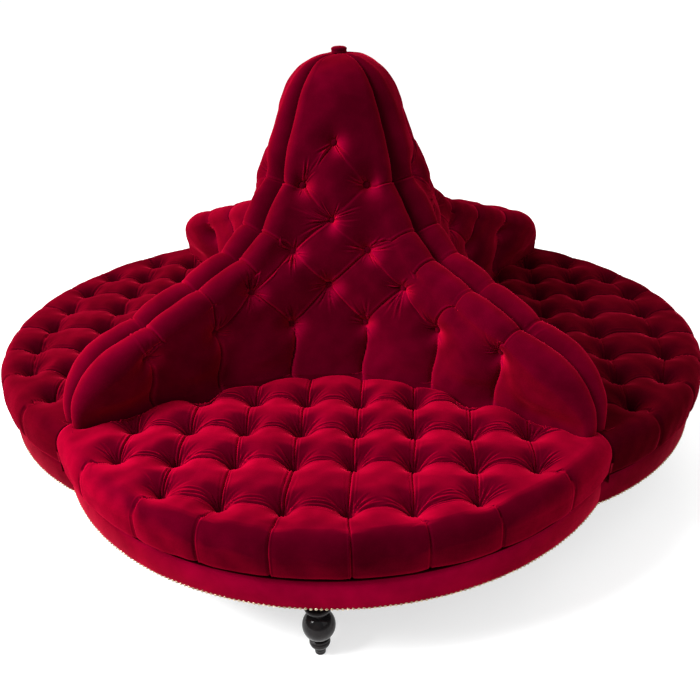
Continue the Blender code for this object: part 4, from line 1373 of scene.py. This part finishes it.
def seat_skin(sheet, painted_highlight):
    """The closed skin of a seat: its buttoned top with a plain underside on the deck."""
    bm = grid_mesh(sheet[:, ::-1], painted_highlight[:, ::-1])
    seam = [vert for vert in bm.verts if vert.is_boundary]
    rim = [edge for edge in bm.edges if edge.is_boundary]
    made = bmesh.ops.extrude_edge_only(bm, edges=rim)
    lower = [item for item in made["geom"] if isinstance(item, bmesh.types.BMVert)]
    for vert in lower:
        if vert.co.z < BAND_TOP + SEAM_RISE:
            inward = UNDERSIDE_RADIUS / math.hypot(vert.co.x, vert.co.y + LOBE_OFFSET)
            vert.co.x *= inward
            vert.co.y = (vert.co.y + LOBE_OFFSET) * inward - LOBE_OFFSET
            vert.co.z = BAND_TOP + SEAM_CLEARANCE
        else:
            vert.co.z = CUSHION_BOTTOM
    return closed_skin(bm, seam + lower, "seat_cushion")


print("Fans of wrinkles round a button of a seat:", len(SEAT_FANS))

# %% Make the four seats
SEAT_SPOTS = {}
for quarter, detail in DETAIL.items():
    cover, spots = button_seat(seat_sheet(detail), 2.0 + QUARTERS[quarter], detail)
    SEAT_SPOTS[quarter] = [cover.depth_at(spot) for spot in spots.values()]
    mesh = seat_skin(cover.finished(), SEAT_HIGHLIGHT * cover.painted_highlights())
    velvet = SEAT_VELVET[quarter]
    add_quarters("velvet_seat", mesh, velvet, "seat_cushion", (quarter,))

# %% [markdown]
# ## Covered buttons
#
# Each button is a domed metal shell with velvet pulled over it. It is a small turned
# form: a dome, a soft shoulder, and a rim that is sunk in the pit. One is turned, and
# copies of it stand in all the pits of a cushion.


# %% Turned forms and copies
def turned(profile, steps):
    """A bmesh of a turned form from (radius, height) points that end on the axis."""
    bm = bmesh.new()
    verts = [bm.verts.new((radius, 0, z)) for radius, z in profile]
    edges = [bm.edges.new(pair) for pair in zip(verts, verts[1:])]
    bmesh.ops.spin(
        bm,
        geom=verts + edges,
        axis=(0, 0, 1),
        cent=(0, 0, 0),
        steps=steps,
        angle=math.tau,
        use_merge=True,
    )
    bmesh.ops.remove_doubles(bm, verts=bm.verts, dist=MERGE_REACH)
    bmesh.ops.recalc_face_normals(bm, faces=bm.faces)
    return bm


def copies(pattern, places):
    """One mesh with a copy of a pattern mesh at each place, a 4x4 matrix."""
    bm = bmesh.new()
    count = len(pattern.vertices)
    for place in places:
        bm.from_mesh(pattern)
        bm.verts.ensure_lookup_table()
        bmesh.ops.transform(bm, matrix=place, verts=bm.verts[-count:])
    return bm


def standing(place, axis):
    """A matrix that stands a form on a place with its own Z along an axis."""
    turn = Vector(axis).to_track_quat("Z", "Y").to_matrix().to_4x4()
    return Matrix.Translation(Vector(place)) @ turn


print("Helpers made: turned, copies, standing")

# %% Covered buttons
BUTTON_LIFT = 0.0042
BUTTON_PROFILE = (
    (0.0, 0.0062),
    (0.0035, 0.0059),
    (0.0070, 0.0048),
    (0.0098, 0.0030),
    (0.0116, 0.0008),
    (0.0121, -0.0015),
    (0.0112, -0.0040),
    (0.0, -0.0046),
)
BUTTON = mesh_of(turned(BUTTON_PROFILE, 18), "covered_button")
for quarter in QUARTERS:
    for family, spots in (("seat", SEAT_SPOTS), ("back", BACK_SPOTS)):
        places = [standing(place + normal * BUTTON_LIFT, normal) for place, normal in spots[quarter]]
        mesh = mesh_of(copies(BUTTON, places), f"{family}_buttons")
        add_quarters(f"{family}_buttons", mesh, BACK_VELVET, quarters=(quarter,))

# %% [markdown]
# ## Band, piping and nails
#
# The band below the seat is a padded strip that follows the lobe. Its section is swept
# round the lobe's centre and then cut off on the two lines between the lobes. The piping
# in the seam is made the same way from a round section, in a near-black velvet that
# paints the shade of the seam.


# %% Sweep round a lobe
def swept(section, steps):
    """A closed section of (radius, height) swept round the front lobe and cut to it."""
    reach = lobe_angle(min(radius for radius, z in section)) + 0.03
    bm = bmesh.new()
    places = [lobe_place(radius, reach, z) for radius, z in section]
    verts = [bm.verts.new(place) for place in places]
    edges = [bm.edges.new((a, b)) for a, b in zip(verts, verts[1:] + verts[:1])]
    bmesh.ops.spin(
        bm,
        geom=verts + edges,
        axis=(0, 0, 1),
        cent=(0, -LOBE_OFFSET, 0),
        steps=steps,
        angle=-2 * reach,
    )
    for side in (1, -1):
        geom = bm.verts[:] + bm.edges[:] + bm.faces[:]
        bmesh.ops.bisect_plane(
            bm, geom=geom, plane_co=(0, -GAP, 0), plane_no=(side, 1, 0), clear_outer=True
        )
    bmesh.ops.remove_doubles(bm, verts=bm.verts, dist=MERGE_REACH)
    bmesh.ops.holes_fill(bm, edges=[edge for edge in bm.edges if edge.is_boundary], sides=0)
    bmesh.ops.recalc_face_normals(bm, faces=bm.faces)
    return bm


def ripple(bm, amount):
    """Shallow unevenness of stretched cloth, as smooth vertex moves away from the lobe."""
    for vert in bm.verts:
        x, y, z = vert.co
        angle = math.atan2(x, -(y + LOBE_OFFSET))
        wave = math.sin(angle * 23 + 1.1) * math.sin(z * 46 + angle * 5)
        wave += 0.6 * math.sin(angle * 51 + z * 30) + 0.4 * math.sin(angle * 97 - z * 60)
        out = Vector((math.sin(angle), -math.cos(angle), 0))
        vert.co += out * wave * amount


print("Helpers made: swept, ripple")


# %% Band and piping
BAND_INNER = 0.0275
BAND_POINTS = 12
WELT_LINE = 0.9108
WELT_RADIUS = 0.0034
WELT_LIFT = 0.0038


def band_section():
    """The band's section: a crowned face that is tucked in at both edges."""
    inner = LOBE_RADIUS - BAND_INNER
    outer = []
    for i in range(BAND_POINTS + 1):
        share = i / BAND_POINTS
        crown = BAND_CROWN * (1 - (2 * share - 1) ** 2)
        tuck = 0.0030 * max(abs(2 * share - 1) - 0.86, 0) / 0.14
        height = BAND_BOTTOM + (BAND_TOP - BAND_BOTTOM) * share
        outer.append((LOBE_RADIUS - BAND_CROWN + crown - tuck, height))
    return [(inner, BAND_BOTTOM), *outer, (inner, BAND_TOP)]


def welt_section(points=10):
    """The piping's round section."""
    turns = [math.tau * i / points for i in range(points)]
    centre = BAND_TOP + WELT_LIFT
    return [(WELT_LINE + WELT_RADIUS * math.cos(t), centre + WELT_RADIUS * math.sin(t)) for t in turns]


band = swept(band_section(), 220)
ripple(band, 0.00035)
band_mesh = mesh_of(band, "velvet_band", sharp=CREASE)
for velvet, quarters in ((BAND_VELVET, ("front", "rear")), (SIDE_BAND_VELVET, ("right", "left"))):
    add_quarters("velvet_band", band_mesh, velvet, "border_band", quarters)
piping = mesh_of(swept(welt_section(), 180), "seam_piping")
add_quarters("seam_piping", piping, PIPING_PAINTED_SHADE, "seam_welt")

# %% [markdown]
# ## Nail heads
#
# A row of domed brass heads holds the velvet along the band's lower edge. One head is
# turned with few faces, as there are hundreds of them, and copies stand side by side
# along the lobe. They were driven by hand, so each sits a hair off the line.

# %% Nail heads
NAIL_PROFILE = ((0.0, 0.0036), (0.0021, 0.0031), (0.0037, 0.0019), (0.0046, 0.0), (0.0, -0.0006))
NAIL = mesh_of(turned(NAIL_PROFILE, 8), "nail_head")
NAIL_COUNT = 142
NAIL_RISE = 0.0050
NAIL_SINK = 0.0004
NAIL_MARGIN = 0.006


def nail_places():
    """Places of the nail heads along a lobe, with small slips in height and turn."""
    radius = LOBE_RADIUS - BAND_CROWN - NAIL_SINK
    reach = lobe_angle(radius) - NAIL_MARGIN
    for i in range(NAIL_COUNT):
        angle = -reach + 2 * reach * i / (NAIL_COUNT - 1)
        slip = 0.0003 * math.sin(i * 2.3) + 0.0002 * math.sin(i * 5.1)
        place = lobe_place(radius, angle, BAND_BOTTOM + NAIL_RISE + slip)
        out = (math.sin(angle + slip * 60), -math.cos(angle + slip * 60), 0.02)
        yield standing(place, out)


nails = mesh_of(copies(NAIL, nail_places()), "nail_heads")
add_quarters("nail_heads", nails, BRASS, "nail_strip")

# %% [markdown]
# ## Legs
#
# The front leg shows its ball, bowl and toe below the band. It is turned on the lathe,
# so its shape is a profile that is spun round its axis, and the curves get enough points
# to stay round in the highlights.


# %% Legs
def arc(centre, radius, start, end, steps):
    """Points on a round stretch of a turned profile, by angles from straight up."""
    turns = np.radians(np.linspace(start, end, steps))
    return [(centre[0] + radius * math.sin(t), centre[1] + radius * math.cos(t)) for t in turns]


LEG_PROFILE = [
    (0.0, 0.2276),
    (0.0335, 0.2276),
    (0.0340, 0.2268),
    (0.0340, 0.2060),
    (0.0325, 0.2000),
    (0.0262, 0.1880),
    (0.0225, 0.1790),
    *arc((0.0300, 0.1670), 0.0078, 0, 180, 9),
    (0.0240, 0.1540),
    (0.0212, 0.1490),
    (0.0205, 0.1455),
    *arc((0.0, 0.1010), 0.0450, 27, 150, 26),
    (0.0228, 0.0595),
    *arc((0.0258, 0.0560), 0.0036, 0, 180, 6),
    (0.0250, 0.0500),
    (0.0283, 0.0455),
    (0.0286, 0.0400),
    (0.0268, 0.0340),
    (0.0225, 0.0285),
    (0.0172, 0.0245),
    (0.0150, 0.0215),
    *arc((0.0128, 0.0170), 0.0040, 20, 140, 5),
    (0.0150, 0.0120),
    (0.0156, 0.0080),
    (0.0150, 0.0030),
    (0.0128, 0.0004),
    (0.0, 0.0),
]
leg = turned(LEG_PROFILE, 56)
bmesh.ops.translate(leg, vec=(0, -LEG_AXIS, 0), verts=leg.verts)
add_quarters("turned_leg", mesh_of(leg, "turned_leg", sharp=CREASE), LACQUER, "leg")

# %% [markdown]
# ## The cap
#
# The four panels end under a covered button on the top of the back. It is turned like the
# others, and the cloth is gathered round its rim in fine ripples. A recess below takes
# the stud that holds it.

# %% Cap
CAP_LOW = 1.3922
CAP_GATHERS = 24
CAP_PROFILE = [
    (0.0, 0.0210),
    (0.0080, 0.0208),
    (0.0160, 0.0198),
    (0.0215, 0.0178),
    (0.0248, 0.0150),
    (0.0256, 0.0118),
    (0.0246, 0.0090),
    (0.0238, 0.0072),
    (0.0246, 0.0050),
    (0.0252, 0.0026),
    (0.0246, 0.0006),
    (0.0068, 0.0004),
    (0.0068, 0.0104),
    (0.0, 0.0104),
]
cap = turned(CAP_PROFILE, 72)
for vert in cap.verts:
    x, y, z = vert.co
    radius = math.hypot(x, y)
    if radius > 0.012 and z > 0.001:
        wave = math.sin(math.atan2(y, x) * CAP_GATHERS)
        gather = 0.0004 * wave * smooth_step(radius, 0.012, 0.022)
        vert.co.x += x / radius * gather
        vert.co.y += y / radius * gather
bmesh.ops.translate(cap, vec=(0, 0, CAP_LOW), verts=cap.verts)
piece = add_piece("top_button", mesh_of(cap, "top_button", sharp=CREASE), BACK_VELVET)
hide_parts("top_cap")
print("top_button -", len(piece.data.polygons), "faces")

# %% [markdown]
# ## Stage, light and camera
#
# The camera stands where the photograph was taken from, at the height of the eyes and
# tilted down. A soft key light from the upper left models the pleats, a weak fill opens
# the right side, and a light from behind keeps the back panels from going black. The
# floor glows a little, so that it stays as white as paper under the sofa.

# %% Camera
CAMERA_PLACE = (0.2313, -2.6635, 1.6935)
CAMERA_YAW, CAMERA_PITCH, CAMERA_ROLL = np.radians((-4.817, 27.142, 1.708)).tolist()
CAMERA_LENS = 40.466


def add_camera():
    level = math.cos(CAMERA_PITCH)
    ahead = Vector((math.sin(CAMERA_YAW) * level, math.cos(CAMERA_YAW) * level, -math.sin(CAMERA_PITCH)))
    right = Vector((math.cos(CAMERA_YAW), -math.sin(CAMERA_YAW), 0))
    above = right.cross(ahead)
    across = right * math.cos(CAMERA_ROLL) - above * math.sin(CAMERA_ROLL)
    upward = right * math.sin(CAMERA_ROLL) + above * math.cos(CAMERA_ROLL)
    camera = bpy.data.objects.new("camera", bpy.data.cameras.new("camera"))
    camera.data.lens = CAMERA_LENS
    camera.data.sensor_width = 36
    turn = Matrix((across, upward, -ahead)).transposed()
    camera.matrix_world = Matrix.Translation(CAMERA_PLACE) @ turn.to_4x4()
    bpy.context.scene.collection.objects.link(camera)
    bpy.context.scene.camera = camera


add_camera()
print("Camera stands at", CAMERA_PLACE)


# %% Floor, sky and lights
def add_light(name, place, target, size, power):
    lamp = bpy.data.lights.new(name, "AREA")
    lamp.shape = "RECTANGLE"
    lamp.size, lamp.size_y = size
    lamp.energy = power
    light = bpy.data.objects.new(name, lamp)
    light.location = place
    light.rotation_euler = (Vector(target) - Vector(place)).to_track_quat("-Z", "Y").to_euler()
    bpy.context.scene.collection.objects.link(light)


def add_floor():
    bm = bmesh.new()
    bmesh.ops.create_grid(bm, x_segments=1, y_segments=1, size=90)
    mesh = mesh_of(bm, "floor", smooth=False)
    made, tree, shader, coords = new_material("pale_floor")
    cloud = noise(tree, coords, 1.5)
    sources = {
        "Base Color": ramp(tree, cloud, (0.3, 0.64), (0.7, 0.67)),
        "Emission Color": ramp(tree, cloud, (0.3, 0.97), (0.7, 1.0)),
    }
    finish(tree, shader, sources, {"Roughness": 0.9, "Emission Strength": 0.62})
    mesh.materials.append(made)
    floor = bpy.data.objects.new("floor", mesh)
    bpy.context.scene.collection.objects.link(floor)
    floor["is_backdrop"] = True


def add_world():
    """A soft studio sky: bright overhead and at the horizon, and dimmer between them."""
    world = bpy.data.worlds.new("studio")
    bpy.context.scene.world = world
    world.use_nodes = True
    tree = world.node_tree
    coords = node(tree, "ShaderNodeTexCoord").outputs["Generated"]
    shades = ((0.0, 1.32), (0.045, 1.05), (0.10, 0.60), (0.20, 0.34), (0.75, 1.0))
    background = tree.nodes["Background"]
    tree.links.new(ramp(tree, height_of(tree, coords), *shades), background.inputs["Color"])
    background.inputs["Strength"].default_value = 0.77


bpy.context.scene.view_settings.view_transform = "Standard"
add_floor()
add_world()
add_light("key", (-3.0, -2.1, 3.8), (0, 0, 0.4), (2.2, 2.2), 450)
add_light("fill", (2.8, -2.6, 2.6), (0, 0, 0.5), (2.2, 2.2), 14)
add_light("rear", (0.8, 3.6, 2.9), (0, 0.3, 0.5), (3.0, 2.0), 45)
print("Lights:", len(bpy.data.lights))

# %% [markdown]
# ## Sizes of the two boxes
#
# The box of the CAD model and the box of the dressed sofa are listed side by side, so
# that their sizes can be compared.

# %% Sizes of the two boxes
[[list(map(float, corner)) for corner in box] for box in (CAD_BOX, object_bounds())]
